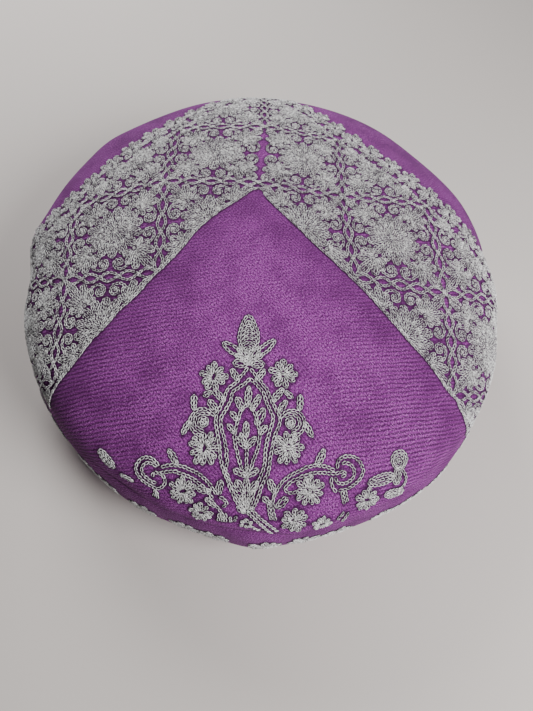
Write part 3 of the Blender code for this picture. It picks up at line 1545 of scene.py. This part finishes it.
@dataclass
class CellMotif:
    """What fills one cell of the lattice, in millimetres about its centre.

    A reach holds the distances from the centre at which a petal starts and ends, a spread is the
    half width of a petal as a share of the step between petals, or else in degrees. Ribs run in
    the middle of petals. The curl's tail is given from the curl's centre.
    """

    core_rows: int = 8
    core_reach: Span = (0.3, 3.0)
    inner_petals: int = 13
    inner_petal_reach: Span = (2.5, 6.5)
    inner_petal_spread: float = 1 / 4
    outer_petals: int = 14
    outer_petal_reach: Span = (5.6, 11.2)
    outer_petal_spread: float = 1 / 3
    outer_rib_gap: float = 1.2
    palmette_base: float = 12.2
    palmette_petals: tuple[Span, ...] = (
        # Lean to either side in degrees, and length
        (0.0, 11.3),
        (33.0, 8.4),
        (66.0, 6.4),
        (100.0, 4.8),
    )
    palmette_start: float = 1.2
    palmette_spread: float = 11.0
    palmette_eye: float = 0.55
    ribbed_length: float = 7.0
    rib_start: float = 3.6
    rib_gap: float = 1.3
    curl_centre: Span = (13.7, 3.2)
    curl_core: float = 0.3
    curl_radius: float = 2.4
    curl_turns: float = 1.55
    curl_tail: tuple[Span, ...] = ((2.4, 0.0), (2.5, 1.8), (1.3, 3.5), (0.2, 4.9))

    def rosette(self) -> Rows:
        """Return the rosette in the middle of the cell.

        Returns:
            Rows of stitches.
        """
        centre = (0.0, 0.0)
        step = 360.0 / self.core_rows
        rows = [polar(centre, np.array(self.core_reach), step * count) for count in range(self.core_rows)]
        low, high = self.inner_petal_reach
        step = 360.0 / self.inner_petals
        spread = step * self.inner_petal_spread
        rows += [petal(centre, step * count, low, high, spread) for count in range(self.inner_petals)]
        low, high = self.outer_petal_reach
        step = 360.0 / self.outer_petals
        for count in range(self.outer_petals):
            degrees = step * (count + 0.5)
            rows.append(petal(centre, degrees, low, high, step * self.outer_petal_spread))
            rows.append(polar(centre, np.array([low, high - self.outer_rib_gap]), degrees))
        return rows

    def palmettes(self) -> Rows:
        """Return the palmettes that point to the four corners.

        Returns:
            Rows of stitches.
        """
        rows: Rows = []
        for quarter in range(4):
            aim = 45.0 + 90.0 * quarter
            base = polar((0.0, 0.0), self.palmette_base, aim)
            for lean, length in self.palmette_petals:
                for aside in (lean, -lean) if lean else (0.0,):
                    degrees = aim + aside
                    rows.append(petal(base, degrees, self.palmette_start, length, self.palmette_spread))
                    if length > self.ribbed_length:
                        rows.append(polar(base, np.array([self.rib_start, length - self.rib_gap]), degrees))
            rows.append(ring(base, self.palmette_eye))
        return rows

    def curls(self) -> Rows:
        """Return the pairs of curls that face the four sides.

        Returns:
            Rows of stitches.
        """
        start = -360.0 * self.curl_turns
        core = spiral(self.curl_centre, self.curl_core, self.curl_radius, start, self.curl_turns)
        tail = smooth_line(np.array(self.curl_centre) + np.array(self.curl_tail))
        curl = [np.vstack([core, tail[1:]])]
        rows: Rows = []
        for quarter in range(4):
            for mirror in (False, True):
                rows += moved(curl, (0.0, 0.0), 90.0 * quarter, mirror)
        return rows


@dataclass
class KiteEdge:
    """The edge of the plain kite, by the pixels at which it shows, from its tip outward.

    Run_on is how far its sides are carried on beyond the last pixel, and step the distance
    between their points, in millimetres.
    """

    cloth: CrownCloth
    view: PhotoView
    left: Pixels = (
        (256.5, 190.0), (252.0, 191.0), (240.0, 199.5), (216.0, 215.0), (197.0, 231.5), (183.5, 248.0),
        (168.0, 264.5), (152.0, 279.5), (138.0, 295.5), (121.0, 310.5), (106.5, 327.0), (91.5, 342.5),
        (79.5, 358.5), (67.0, 374.0), (59.0, 384.5), (52.0, 398.0),
    )
    right: Pixels = (
        (256.5, 190.0), (261.5, 190.5), (266.5, 199.0), (283.0, 215.0), (300.0, 231.0), (317.0, 247.5),
        (334.5, 263.5), (352.0, 280.0), (367.0, 295.0), (380.5, 310.5), (395.0, 326.5), (408.5, 343.0),
        (423.0, 358.5), (435.5, 375.0), (447.0, 392.0), (455.5, 401.5), (461.5, 415.5),
    )
    run_on: float = 30.0
    step: float = 0.5
    sides: dict[str, np.ndarray] = field(init=False)

    def __post_init__(self) -> None:
        """Lay the two sides flat and carry them on to the seam."""
        self.sides = {}
        for name, pixels in (("left", self.left), ("right", self.right)):
            line = self.view.flat_at(self.cloth, np.array(pixels))
            ahead = line[-1] - line[-3]
            beyond = line[-1] + ahead / np.linalg.norm(ahead) * self.run_on
            self.sides[name] = densely(smooth_line(np.vstack([line, beyond])), self.step)

    def outside(self, places: np.ndarray, margin: float) -> np.ndarray:
        """Return which places lie outside the kite.

        Args:
            places: Flat places, one row each.
            margin: How far outside it they have to lie, in millimetres.

        Returns:
            True or False for each place.
        """
        outside = np.ones(len(places), bool)
        for name, sign in SIDE_SIGNS.items():
            line = self.sides[name]
            near = np.argmin(((places[:, None, :2] - line[None]) ** 2).sum(axis=2), axis=1)
            ahead = np.gradient(line, axis=0)[near]
            ahead /= np.linalg.norm(ahead, axis=1)[:, None]
            away = places[:, :2] - line[near]
            reach = sign * (ahead[:, 0] * away[:, 1] - ahead[:, 1] * away[:, 0])
            on_side = places[:, 0] * sign > line[0, 0] * sign
            outside &= ~on_side | (reach > margin)
        return outside

    def rows(self, offset: float) -> Rows:
        """Return the two rows that run at a distance outside the edge."""
        return [beside(self.sides[name], sign * offset) for name, sign in SIDE_SIGNS.items()]


@dataclass(frozen=True)
class DaisyLine:
    """The daisies along the border's outer edge on one side of the cap, given by the sign of x.

    Line is where they lie across the border, which runs from 0 at the kite's edge to 2 at its
    outer edge. Phase is how many steps from the middle the first one lies, and turn is the
    direction of its first petal in degrees.
    """

    sign: float
    line: float
    phase: float
    turn: float


@dataclass
class BorderEmbroidery:
    """The border: whole cells of a lattice with half cells between them along both edges.

    Its two sides meet at a mitre behind the kite. Lengths are in millimetres. Chevron_span holds
    the chevron's values between which the cells' embroidery is kept, and greyed is how much
    darker the border's thread is made than the rest.
    """

    lattice: Lattice
    edge: KiteEdge
    motif: CellMotif = field(default_factory=CellMotif)
    columns: int = 4
    eyes: int = 5
    points_per_eye: int = 12
    rope_half: float = 1.75
    crossing_lift: float = 0.10
    daisy_radius: float = 6.1
    daisy_petals: int = 8
    daisies_per_diagonal: float = 4.62
    daisy_turn: float = 13.0
    daisy_lines: tuple[DaisyLine, ...] = (
        DaisyLine(1.0, 2.26, 0.65, 90.0),
        DaisyLine(-1.0, 2.225, 1.0, 82.0),
    )
    chevron_span: Span = (-0.3, 2.045)
    seam_margin: float = 1.2
    edge_margin: float = 0.6
    edge_row_offset: float = 0.7
    mitre_pull: float = 1.1
    greyed: float = 0.32

    def chevron(self, places: np.ndarray) -> np.ndarray:
        """Return 0 on the kite's edge and 2 on the border's outer edge, in lattice steps."""
        return (np.abs(places[:, 0]) + places[:, 1]) / self.lattice.side

    def stitched(self, rows: Rows) -> Rows:
        """Return laid rows without what lies on the kite or beyond the seam."""
        return kept(rows, self.on_border)

    def on_border(self, flat: np.ndarray) -> np.ndarray:
        """Return which flat places lie on the border."""
        on_crown = np.hypot(flat[:, 0], flat[:, 1]) < self.lattice.cloth.edge - self.seam_margin
        return on_crown & self.edge.outside(flat, self.edge_margin)

    def in_chevron(self, places: np.ndarray) -> np.ndarray:
        """Return which lattice places the cells' embroidery may lie on."""
        low, high = self.chevron_span
        return (self.chevron(places) < high) & (self.chevron(places) > low)

    def cell_centres(self) -> list[tuple[float, float]]:
        """Return the centres of the cells.

        Returns:
            Places across and back, in lattice millimetres.
        """
        centres = []
        for column in range(self.columns):
            for row in (-1, 0, 1):
                across, back = column + 0.5, row - column + 0.5
                centres.append((across * self.lattice.side, back * self.lattice.side))
                centres.append((-across * self.lattice.side, back * self.lattice.side))
        return centres

    def in_cells(self, motif: Rows) -> Rows:
        """Return a motif repeated in every cell, cut off at the border's edges and laid.

        Args:
            motif: Its rows, about a cell's centre.

        Returns:
            Rows of stitches on the cloth.
        """
        rows: Rows = []
        for centre in self.cell_centres():
            rows += [self.pulled(densely(row)) for row in moved(motif, centre)]
        return self.stitched(self.lattice.lay(kept(rows, self.in_chevron)))

    def pulled(self, row: np.ndarray) -> np.ndarray:
        """Return a row drawn in toward the mitre in the first cells, where no rope parts them.

        Args:
            row: A row in lattice millimetres.

        Returns:
            The row, moved where it lies near the mitre.
        """
        half = self.lattice.side / 2
        nearness_to_mitre = np.clip(1 - np.abs(row[:, 0]) / half, 0, 1)
        first = (row[:, 1] > 0) & (row[:, 1] < self.lattice.side)
        shifted = row.copy()
        shifted[:, 0] -= np.sign(row[:, 0]) * self.mitre_pull * nearness_to_mitre * first
        return shifted

    def rope(self, start: tuple[int, int], stop: tuple[int, int]) -> Rows:
        """Return the two strands that twist along one side of a cell.

        Args:
            start: The crossing that it starts from, in lattice steps.
            stop: The crossing that it ends at.

        Returns:
            Rows of stitches on the plain lattice, with a column of lift.
        """
        first = np.array(start, float) * self.lattice.side
        last = np.array(stop, float) * self.lattice.side
        along = last - first
        side = np.array([-along[1], along[0]]) / np.linalg.norm(along)
        share = np.linspace(0.0, 1.0, self.eyes * self.points_per_eye + 1)
        wave = np.sin(np.pi * self.eyes * share)
        over = np.cos(np.pi * self.eyes * share)
        strands = []
        for sign in (1.0, -1.0):
            plan = first + along * share[:, None] + side * (sign * self.rope_half * wave)[:, None]
            lift = self.crossing_lift * (1 + sign * over)
            strands.append(np.hstack([plan, lift[:, None]]))
        return strands

    def ropes(self) -> Rows:
        """Return the ropes along all sides of the cells.

        Returns:
            Rows of stitches on the cloth.
        """
        rows = self.rope((0, 1), (0, 2))
        for column in range(self.columns):
            for row in (-1, 0):
                low = row - column
                for sign in (1, -1):
                    corners = ((column, low + 1), (column + 1, low + 1), (column + 1, low))
                    start, middle, stop = ((sign * across, back) for across, back in corners)
                    rows += self.rope(start, middle)
                    rows += self.rope(middle, stop)
        return self.stitched(self.lattice.lay(rows))

    def edge_lines(self) -> Rows:
        """Return the rows along the kite's edge."""
        return self.stitched(self.edge.rows(self.edge_row_offset))

    def daisies(self) -> Rows:
        """Return the daisies along the border's outer edge.

        Returns:
            Rows of stitches on the cloth.
        """
        step = self.lattice.side / self.daisies_per_diagonal
        rows: Rows = []
        for count in range(int(self.columns * self.daisies_per_diagonal)):
            for daisies in self.daisy_lines:
                across = (count + daisies.phase) * step
                centre = (daisies.sign * across, daisies.line * self.lattice.side - across)
                turn = daisies.turn + self.daisy_turn * count
                rows += flower(centre, self.daisy_radius, self.daisy_petals, turn)
        return self.stitched(self.lattice.lay([densely(row) for row in rows]))

    def pieces(self) -> dict[str, Rows]:
        """Return the border's pieces.

        Returns:
            The rows of each piece, by its name.
        """
        motif = self.motif
        return {
            "lattice_ropes": self.ropes(),
            "rosettes": self.in_cells(motif.rosette()),
            "palmettes": self.in_cells(motif.palmettes()),
            "scroll_curls": self.in_cells(motif.curls()),
            "kite_edge_rows": self.edge_lines(),
            "edge_daisies": self.daisies(),
        }


# Embroidery of the front


@dataclass(frozen=True)
class PlacedLeaf:
    """A leaf by the pixels of its base and tip, with its width in millimetres."""

    base_x_px: float
    base_y_px: float
    tip_x_px: float
    tip_y_px: float
    width: float

    def pixels(self) -> Pixels:
        """Return the pixels of its base and its tip."""
        return ((self.base_x_px, self.base_y_px), (self.tip_x_px, self.tip_y_px))


@dataclass(frozen=True)
class PlacedDisc:
    """A round patch by the pixel of its centre, with its radius in millimetres."""

    x_px: float
    y_px: float
    radius: float


@dataclass(frozen=True)
class TracedLine:
    """A row of stitches by the pixels that it passes through."""

    name: str
    pixels: Pixels


@dataclass(frozen=True)
class PlacedFlower:
    """A flower by the pixel of its centre, with its radius in millimetres."""

    x_px: float
    y_px: float
    radius: float
    petals: int
    turn: float = 90.0
    slit: float = 90.0


@dataclass
class Bouquet:
    """The bouquet on the front of the crown, placed by where it shows in the photograph.

    Row is the distance between rows that lie side by side, and seam_margin how far from the seam
    the stitches end, in millimetres.
    """

    cloth: CrownCloth
    view: PhotoView
    row: float = 1.35
    seam_margin: float = 0.8
    bud: PlacedLeaf = PlacedLeaf(248.6, 352.5, 248.6, 315.0, 8.2)
    leaves: tuple[PlacedLeaf, ...] = (
        # Finial
        PlacedLeaf(241.5, 356.0, 222.3, 342.5, 3.6),
        PlacedLeaf(256.5, 356.0, 275.3, 340.2, 3.6),
        PlacedLeaf(248.5, 364.0, 238.5, 347.0, 3.4),
        PlacedLeaf(249.0, 364.0, 259.5, 347.0, 3.4),
        PlacedLeaf(249.0, 365.0, 249.0, 349.0, 3.0),
        PlacedLeaf(247.0, 364.5, 232.5, 363.0, 3.0),
        PlacedLeaf(251.0, 365.0, 265.0, 364.0, 3.0),
        PlacedLeaf(247.5, 360.0, 235.0, 355.5, 2.6),
        PlacedLeaf(250.5, 360.0, 262.5, 355.5, 2.6),
        # Leaflets below the finial
        PlacedLeaf(237.5, 380.5, 232.0, 369.0, 2.8),
        PlacedLeaf(256.0, 380.5, 265.0, 369.0, 2.8),
        # Calyx and stalk leaf of the two upper flowers
        PlacedLeaf(223.5, 401.0, 213.5, 388.5, 2.8),
        PlacedLeaf(212.5, 391.5, 202.5, 396.5, 2.4),
        PlacedLeaf(272.5, 401.5, 283.0, 388.5, 2.8),
        PlacedLeaf(285.0, 391.5, 293.5, 398.5, 2.4),
        # Leaves where the spirals leave the outline
        PlacedLeaf(217.0, 411.5, 208.5, 399.5, 2.8),
        PlacedLeaf(278.5, 411.5, 287.0, 400.5, 2.6),
        PlacedLeaf(194.2, 409.5, 194.0, 394.0, 2.6),
        PlacedLeaf(190.0, 421.0, 181.5, 435.5, 2.4),
        PlacedLeaf(299.6, 410.5, 300.3, 394.0, 2.6),
        PlacedLeaf(304.5, 422.5, 313.0, 438.0, 2.6),
        # Plant inside the outline
        PlacedLeaf(247.7, 405.5, 248.7, 386.3, 2.8),
        PlacedLeaf(242.5, 411.0, 236.0, 396.5, 2.7),
        PlacedLeaf(251.5, 410.5, 260.2, 395.0, 2.7),
        PlacedLeaf(237.5, 420.5, 229.8, 411.0, 2.3),
        PlacedLeaf(234.5, 433.0, 227.0, 423.5, 2.3),
        PlacedLeaf(256.5, 425.0, 264.0, 408.2, 3.4),
        PlacedLeaf(259.5, 434.0, 267.5, 425.0, 2.6),
        PlacedLeaf(246.5, 437.0, 246.1, 420.9, 2.7),
        PlacedLeaf(246.5, 447.5, 235.5, 436.0, 2.7),
        PlacedLeaf(246.5, 446.0, 240.5, 433.0, 2.4),
        PlacedLeaf(246.8, 447.5, 256.0, 437.0, 2.7),
        PlacedLeaf(245.5, 475.5, 232.7, 469.0, 2.6),
        PlacedLeaf(247.5, 475.5, 258.6, 469.0, 2.8),
        PlacedLeaf(246.5, 478.0, 246.5, 466.0, 2.6),
        PlacedLeaf(244.5, 493.0, 235.4, 479.5, 2.9),
        PlacedLeaf(248.8, 492.5, 257.7, 480.5, 2.9),
        PlacedLeaf(246.5, 506.0, 246.5, 478.0, 3.0),
        PlacedLeaf(247.0, 508.0, 253.5, 489.0, 2.8),
        PlacedLeaf(246.0, 508.0, 241.0, 494.0, 2.8),
        PlacedLeaf(245.0, 512.0, 237.0, 506.0, 2.6),
        PlacedLeaf(246.0, 513.0, 253.0, 506.0, 2.6),
        # Leaves on the scroll arms
        PlacedLeaf(177.5, 464.5, 168.5, 448.8, 2.6),
        PlacedLeaf(316.5, 465.5, 324.5, 448.9, 2.8),
        PlacedLeaf(218.5, 494.0, 221.3, 479.2, 2.7),
        PlacedLeaf(215.7, 505.7, 205.0, 497.5, 2.6),
        PlacedLeaf(274.6, 493.0, 269.0, 479.6, 2.7),
        PlacedLeaf(270.2, 504.0, 262.0, 495.7, 2.4),
        PlacedLeaf(276.4, 507.5, 288.2, 496.6, 3.0),
        PlacedLeaf(210.5, 491.5, 195.4, 487.5, 2.6),
        # Outlying leaves
        PlacedLeaf(114.5, 467.5, 99.3, 449.5, 4.5),
        PlacedLeaf(120.5, 473.8, 133.8, 481.0, 2.2),
        PlacedLeaf(394.0, 475.5, 367.5, 483.6, 4.6),
        PlacedLeaf(395.5, 484.0, 397.5, 467.0, 4.0),
        PlacedLeaf(384.5, 494.5, 403.5, 490.0, 4.4),
    )
    flowers: tuple[PlacedFlower, ...] = (
        PlacedFlower(213.7, 376.7, 4.5, 9),
        PlacedFlower(283.1, 373.9, 4.6, 9),
        PlacedFlower(204.3, 448.3, 5.1, 11, 270.0),
        PlacedFlower(288.2, 447.6, 5.0, 11, 270.0),
        PlacedFlower(182.9, 490.9, 4.7, 11, 90.0, 25.0),
        PlacedFlower(309.6, 490.5, 4.8, 11, 90.0, 160.0),
        PlacedFlower(294.7, 520.4, 4.6, 9, 60.0, 170.0),
        PlacedFlower(367.0, 499.4, 4.4, 9, 90.0, 10.0),
        PlacedFlower(201.0, 512.3, 4.0, 9, 90.0, 0.0),
        PlacedFlower(321.9, 523.5, 3.6, 9, 90.0, 20.0),
        PlacedFlower(246.0, 523.5, 2.3, 6, 90.0, 0.0),
    )
    lines: tuple[TracedLine, ...] = (
        # Outline, outer and inner row on the left, then on the right
        TracedLine("outline_left_outer", (
            (247.7, 368.1), (236.2, 382.5), (227.1, 390.1), (223.4, 400.7), (215.7, 417.3), (216.6, 428.9),
            (219.3, 445.0), (221.1, 461.1), (224.6, 472.7), (230.9, 488.8), (237.1, 502.1), (244.0, 512.0),
        )),
        TracedLine("outline_left_inner", (
            (250.1, 378.7), (241.0, 386.3), (232.4, 392.1), (229.5, 403.5), (222.0, 415.5), (220.6, 423.5),
            (223.8, 437.0), (226.4, 450.4), (227.3, 462.0), (225.5, 470.9), (229.5, 480.0), (238.0, 495.9),
            (243.5, 506.0),
        )),
        TracedLine("outline_right_outer", (
            (250.6, 369.1), (261.1, 382.5), (267.5, 391.1), (271.2, 400.7), (280.0, 419.5), (274.8, 435.2),
            (272.9, 445.0), (270.2, 459.3), (268.4, 470.9), (262.1, 485.2), (256.8, 500.4), (252.0, 511.0),
        )),
        TracedLine("outline_right_inner", (
            (250.1, 378.7), (257.3, 385.4), (263.0, 392.0), (266.8, 403.2), (273.3, 417.3), (271.3, 426.3),
            (267.9, 437.9), (265.3, 452.1), (264.8, 462.9), (262.0, 472.0), (257.5, 483.0), (253.0, 495.0),
        )),
        # Stems of the plant inside
        TracedLine("middle_stem", ((246.5, 447.0), (246.7, 458.0), (246.6, 468.0))),
        TracedLine("left_stem", (
            (241.6, 469.0), (237.1, 452.1), (234.3, 438.0), (237.5, 421.8), (241.5, 410.2), (247.9, 404.5),
        )),
        TracedLine("right_stem", (
            (250.5, 468.0), (255.0, 456.6), (258.6, 445.0), (259.6, 433.0), (257.5, 421.8), (253.5, 411.1),
            (247.9, 404.5),
        )),
        # Left spiral
        TracedLine("left_spiral_outer", (
            (214.5, 415.5), (206.8, 409.7), (198.5, 409.3), (191.8, 415.5), (190.3, 423.6), (193.4, 431.6),
            (201.0, 436.0),
        )),
        TracedLine("left_spiral_inner", (
            (209.5, 414.5), (202.5, 412.8), (196.2, 416.0), (194.3, 422.5), (197.0, 428.5), (203.5, 431.0),
        )),
        # Right spiral
        TracedLine("right_spiral_outer", (
            (280.0, 417.8), (287.1, 411.6), (296.4, 411.1), (303.0, 417.3), (304.5, 425.5), (300.0, 433.5),
            (291.5, 436.0),
        )),
        TracedLine("right_spiral_inner", (
            (284.5, 416.5), (290.5, 414.0), (296.5, 416.0), (299.6, 421.5), (298.2, 428.0), (291.5, 431.0),
        )),
        # Left scroll arm, upper and lower row, and its spiral
        TracedLine("left_arm_upper", (
            (161.4, 466.6), (170.4, 464.8), (181.1, 465.7), (192.7, 470.2), (201.6, 475.5), (208.8, 482.7),
            (216.5, 494.0),
        )),
        TracedLine("left_arm_lower", (
            (160.5, 472.5), (168.5, 471.2), (177.0, 472.0), (188.2, 476.0), (197.1, 481.2), (205.2, 488.1),
            (213.0, 498.0),
        )),
        TracedLine("left_arm_spiral", (
            (158.9, 465.0), (151.6, 457.7), (142.7, 457.7), (137.3, 463.9), (136.4, 471.1), (142.7, 479.5),
            (150.7, 485.0), (157.9, 488.0), (164.1, 485.8), (165.9, 480.0), (161.4, 473.8), (154.0, 472.4),
            (152.6, 476.5),
        )),
        TracedLine("left_arm_spiral_inner", (
            (156.5, 466.5), (150.5, 461.8), (144.5, 464.0), (141.5, 469.5), (144.5, 475.0), (150.0, 480.0),
            (156.0, 483.0),
        )),
        TracedLine("left_arm_sprig", ((155.4, 488.5), (155.2, 492.5), (153.8, 496.0))),
        TracedLine("left_arm_sprig_inner", ((156.4, 490.5), (158.0, 494.0), (157.8, 498.0))),
        # Right scroll arm, upper and lower row, and its spiral
        TracedLine("right_arm_upper", (
            (273.5, 497.0), (278.9, 486.5), (284.8, 479.6), (294.7, 473.3), (304.6, 468.4), (314.5, 465.7),
            (324.4, 466.2), (334.3, 469.9),
        )),
        TracedLine("right_arm_lower", (
            (284.0, 488.5), (290.7, 481.6), (299.7, 477.3), (309.6, 473.9), (319.5, 472.4), (329.4, 473.0),
            (337.3, 473.7), (342.5, 470.5), (345.8, 474.0), (341.5, 476.5),
        )),
        TracedLine("right_arm_hook", ((284.5, 489.0), (290.0, 493.2), (297.0, 491.5))),
        TracedLine("right_arm_spiral", (
            (337.0, 468.0), (337.6, 461.0), (342.5, 456.9), (349.6, 456.0), (357.3, 459.3), (362.1, 465.7),
            (362.5, 473.0), (359.1, 479.2), (353.5, 484.5), (346.5, 488.5), (338.5, 490.5),
        )),
        TracedLine("right_arm_spiral_inner", (
            (342.0, 463.4), (347.6, 462.6), (353.3, 467.7), (354.3, 474.7), (350.1, 480.8), (343.2, 483.9),
            (337.3, 482.6), (334.9, 477.5),
        )),
        TracedLine("right_arm_leaf_stalk", ((331.6, 477.6), (331.6, 485.6), (336.0, 492.0))),
        TracedLine("right_arm_sprig", ((341.5, 491.0), (342.2, 497.0), (344.2, 503.4))),
        TracedLine("right_arm_sprig_inner", ((345.0, 490.5), (346.2, 496.0), (347.5, 501.0))),
        # Stalks at the foot
        TracedLine("right_stalk_upper", ((251.0, 508.0), (259.0, 516.5), (268.0, 524.0), (278.0, 531.0))),
        TracedLine("right_stalk_lower", ((247.5, 511.5), (255.5, 519.5), (264.0, 527.0), (273.0, 533.0))),
        TracedLine("right_drop_outer", ((274.6, 493.2), (272.7, 503.0), (273.2, 512.0), (275.5, 520.0))),
        TracedLine("right_drop_inner", ((268.0, 503.5), (269.3, 510.5), (271.0, 519.5))),
        TracedLine("left_drop", ((216.0, 505.0), (221.0, 511.0), (224.5, 518.0))),
        TracedLine("left_curl", ((219.5, 497.0), (225.0, 499.0), (227.0, 503.5), (222.5, 506.0))),
        TracedLine("left_foot_first", ((219.8, 513.0), (218.2, 520.5))),
        TracedLine("left_foot_second", ((222.8, 512.5), (222.0, 521.0))),
        TracedLine("left_foot_third", ((225.6, 513.5), (225.6, 521.5))),
        TracedLine("left_foot_fourth", ((230.2, 516.5), (231.2, 521.5))),
        TracedLine("left_foot_fifth", ((236.2, 515.8), (234.4, 521.0))),
        TracedLine("right_foot", ((250.5, 525.5), (259.8, 529.8))),
        # Outlying curls
        TracedLine("right_outlying_curl", ((401.5, 469.0), (405.5, 476.0), (404.0, 484.0), (398.0, 489.0))),
        TracedLine("right_outlying_sprig_upper", ((337.0, 519.0), (343.5, 512.0))),
        TracedLine("right_outlying_sprig_lower", ((341.5, 520.5), (348.0, 512.5))),
    )
    discs: tuple[PlacedDisc, ...] = (
        # Fruit at the right end, and the cores of the two spirals
        PlacedDisc(399.2, 459.6, 2.9),
        PlacedDisc(203.2, 421.7, 1.5),
        PlacedDisc(290.2, 423.0, 1.5),
        # Middles of the flowers that show no slit
        PlacedDisc(283.1, 373.9, 0.55),
        PlacedDisc(288.2, 447.6, 0.6),
        PlacedDisc(309.6, 490.5, 0.5),
        PlacedDisc(294.7, 520.4, 0.5),
    )

    def placed(self, *pixels: tuple[float, float]) -> np.ndarray:
        """Return flat places for pixels."""
        return self.view.flat_at(self.cloth, np.array(pixels, float))

    def on_crown(self, flat: np.ndarray) -> np.ndarray:
        """Return which flat places lie far enough from the seam."""
        return np.hypot(flat[:, 0], flat[:, 1]) < self.cloth.edge - self.seam_margin

    def rows(self) -> Rows:
        """Return all rows of the bouquet.

        Returns:
            Rows of stitches on the cloth.
        """
        base, tip = self.placed(*self.bud.pixels())
        rows = scales(base, tip, self.bud.width)
        for item in self.leaves:
            base, tip = self.placed(*item.pixels())
            rows += leaf(base, tip, item.width, self.row)
        for item in self.flowers:
            (centre,) = self.placed((item.x_px, item.y_px))
            rows += flower(centre, item.radius, item.petals, item.turn, item.slit)
        for line in self.lines:
            LOG.debug("front_bouquet: %s", line.name)
            rows.append(smooth_line(self.placed(*line.pixels)))
        for item in self.discs:
            (centre,) = self.placed((item.x_px, item.y_px))
            rows += disc(centre, item.radius, self.row)
        return kept(rows, self.on_crown)


@dataclass
class BandBorder:
    """Row of stitched flowers round the side band, just above its widest line.

    Level and radius are in millimetres. The flowers lie up to uneven_share of a step to one side
    of their even places, in waves of uneven_rate, and each is turned by turn degrees more than
    the one before.
    """

    cloth: BandCloth
    repeats: int = 44
    level: float = 29.0
    radius: float = 5.8
    petals: int = 8
    uneven_share: float = 0.16
    uneven_rate: float = 2.3
    turn: float = 37.0
    slit: float = 0.0

    def rows(self) -> Rows:
        """Return the flowers.

        Returns:
            Rows of stitches on the cloth.
        """
        rows: Rows = []
        step = self.cloth.round_length / self.repeats
        for count in range(self.repeats):
            place = (count + 0.5 + self.uneven_share * math.sin(self.uneven_rate * count)) * step
            rows += flower((place, self.level), self.radius, self.petals, self.turn * count, self.slit)
        return rows


# Floor and light


@dataclass(frozen=True)
class Lamp:
    """A soft round light: its place and size in metres."""

    name: str
    place: tuple[float, float, float]
    size: float
    watts: float
    colour: tuple[float, float, float]


@dataclass
class Studio:
    """A plain pale floor, a soft light from the front right and one from behind on the left."""

    floor_size: float = 3.0
    floor_colour: Colour = (0.64, 0.60, 0.565, 1.0)
    floor_dimming: float = 0.93
    floor_cloud_scale: float = 3.0
    floor_roughness: float = 0.9
    world_colour: Colour = (0.80, 0.79, 0.80, 1.0)
    world_strength: float = 0.08
    aim: tuple[float, float, float] = (0.0, -0.01, 0.05)
    lamps: tuple[Lamp, ...] = (
        Lamp("window_light", (0.33, -0.21, 0.38), 0.27, 3.8, (1.0, 0.98, 0.98)),
        Lamp("back_light", (-0.29, 0.47, 0.41), 0.36, 4.3, (1.0, 0.99, 1.0)),
    )

    def build(self) -> None:
        """Add the floor, the world and the lights."""
        half = self.floor_size / 2
        mesh = bpy.data.meshes.new("floor")
        corners = [(-half, -half, 0.0), (half, -half, 0.0), (half, half, 0.0), (-half, half, 0.0)]
        mesh.from_pydata(corners, [], [(0, 1, 2, 3)])
        shader = ShaderTree("floor")
        place = shader.node("ShaderNodeTexCoord", {}, {}, "Object")
        cloud = shader.noise(place, self.floor_cloud_scale, 2.0)
        dim = tuple(self.floor_dimming * part for part in self.floor_colour[:3]) + (1.0,)
        tint = shader.mix(cloud, dim, self.floor_colour)
        mesh.materials.append(shader.dress(base_color=tint, roughness=self.floor_roughness))
        floor = bpy.data.objects.new("floor", mesh)
        bpy.context.scene.collection.objects.link(floor)
        world = bpy.data.worlds.new("studio")
        world.use_nodes = True
        background = world.node_tree.nodes["Background"]
        background.inputs["Color"].default_value = self.world_colour
        background.inputs["Strength"].default_value = self.world_strength
        bpy.context.scene.world = world
        for lamp in self.lamps:
            self.add_lamp(lamp)

    def add_lamp(self, lamp: Lamp) -> None:
        """Add one lamp, aimed at the cap.

        Args:
            lamp: Its place, size, strength and colour.
        """
        data = bpy.data.lights.new(lamp.name, "AREA")
        data.shape = "DISK"
        data.size = lamp.size
        data.energy = lamp.watts
        data.color = lamp.colour
        light = bpy.data.objects.new(lamp.name, data)
        light.location = lamp.place
        direction = Vector(self.aim) - Vector(lamp.place)
        light.rotation_euler = direction.to_track_quat("-Z", "Y").to_euler()
        bpy.context.scene.collection.objects.link(light)


def main() -> None:
    """Build the cap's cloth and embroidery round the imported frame."""
    logging.basicConfig(level=logging.INFO, format="%(message)s")
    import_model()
    shape = CapShape()
    view = PhotoView()
    view.add_camera()
    Studio().build()
    twill = TwillFinish().build()
    thread = ThreadFinish().build()
    crown_cloth = CrownCloth(shape)
    band_cloth = BandCloth(shape)
    border = BorderEmbroidery(Lattice(crown_cloth, view), KiteEdge(crown_cloth, view))
    border_rows = border.pieces()
    bouquet_rows = Bouquet(crown_cloth, view).rows()
    band_rows = BandBorder(band_cloth).rows()
    crown_rows = sum(border_rows.values(), []) + bouquet_rows
    Crown(shape, crown_cloth).build(twill, crown_rows, border_rows["kite_edge_rows"])
    SideBand(shape, crown_cloth.edge).build(twill, band_rows)
    stitcher = ChainStitcher(thread)
    for name, rows in border_rows.items():
        stitcher.build(name, crown_cloth, rows, border.greyed)
    stitcher.build("front_bouquet", crown_cloth, bouquet_rows)
    stitcher.build("band_border", band_cloth, band_rows)


if __name__ == "__main__":
    main()
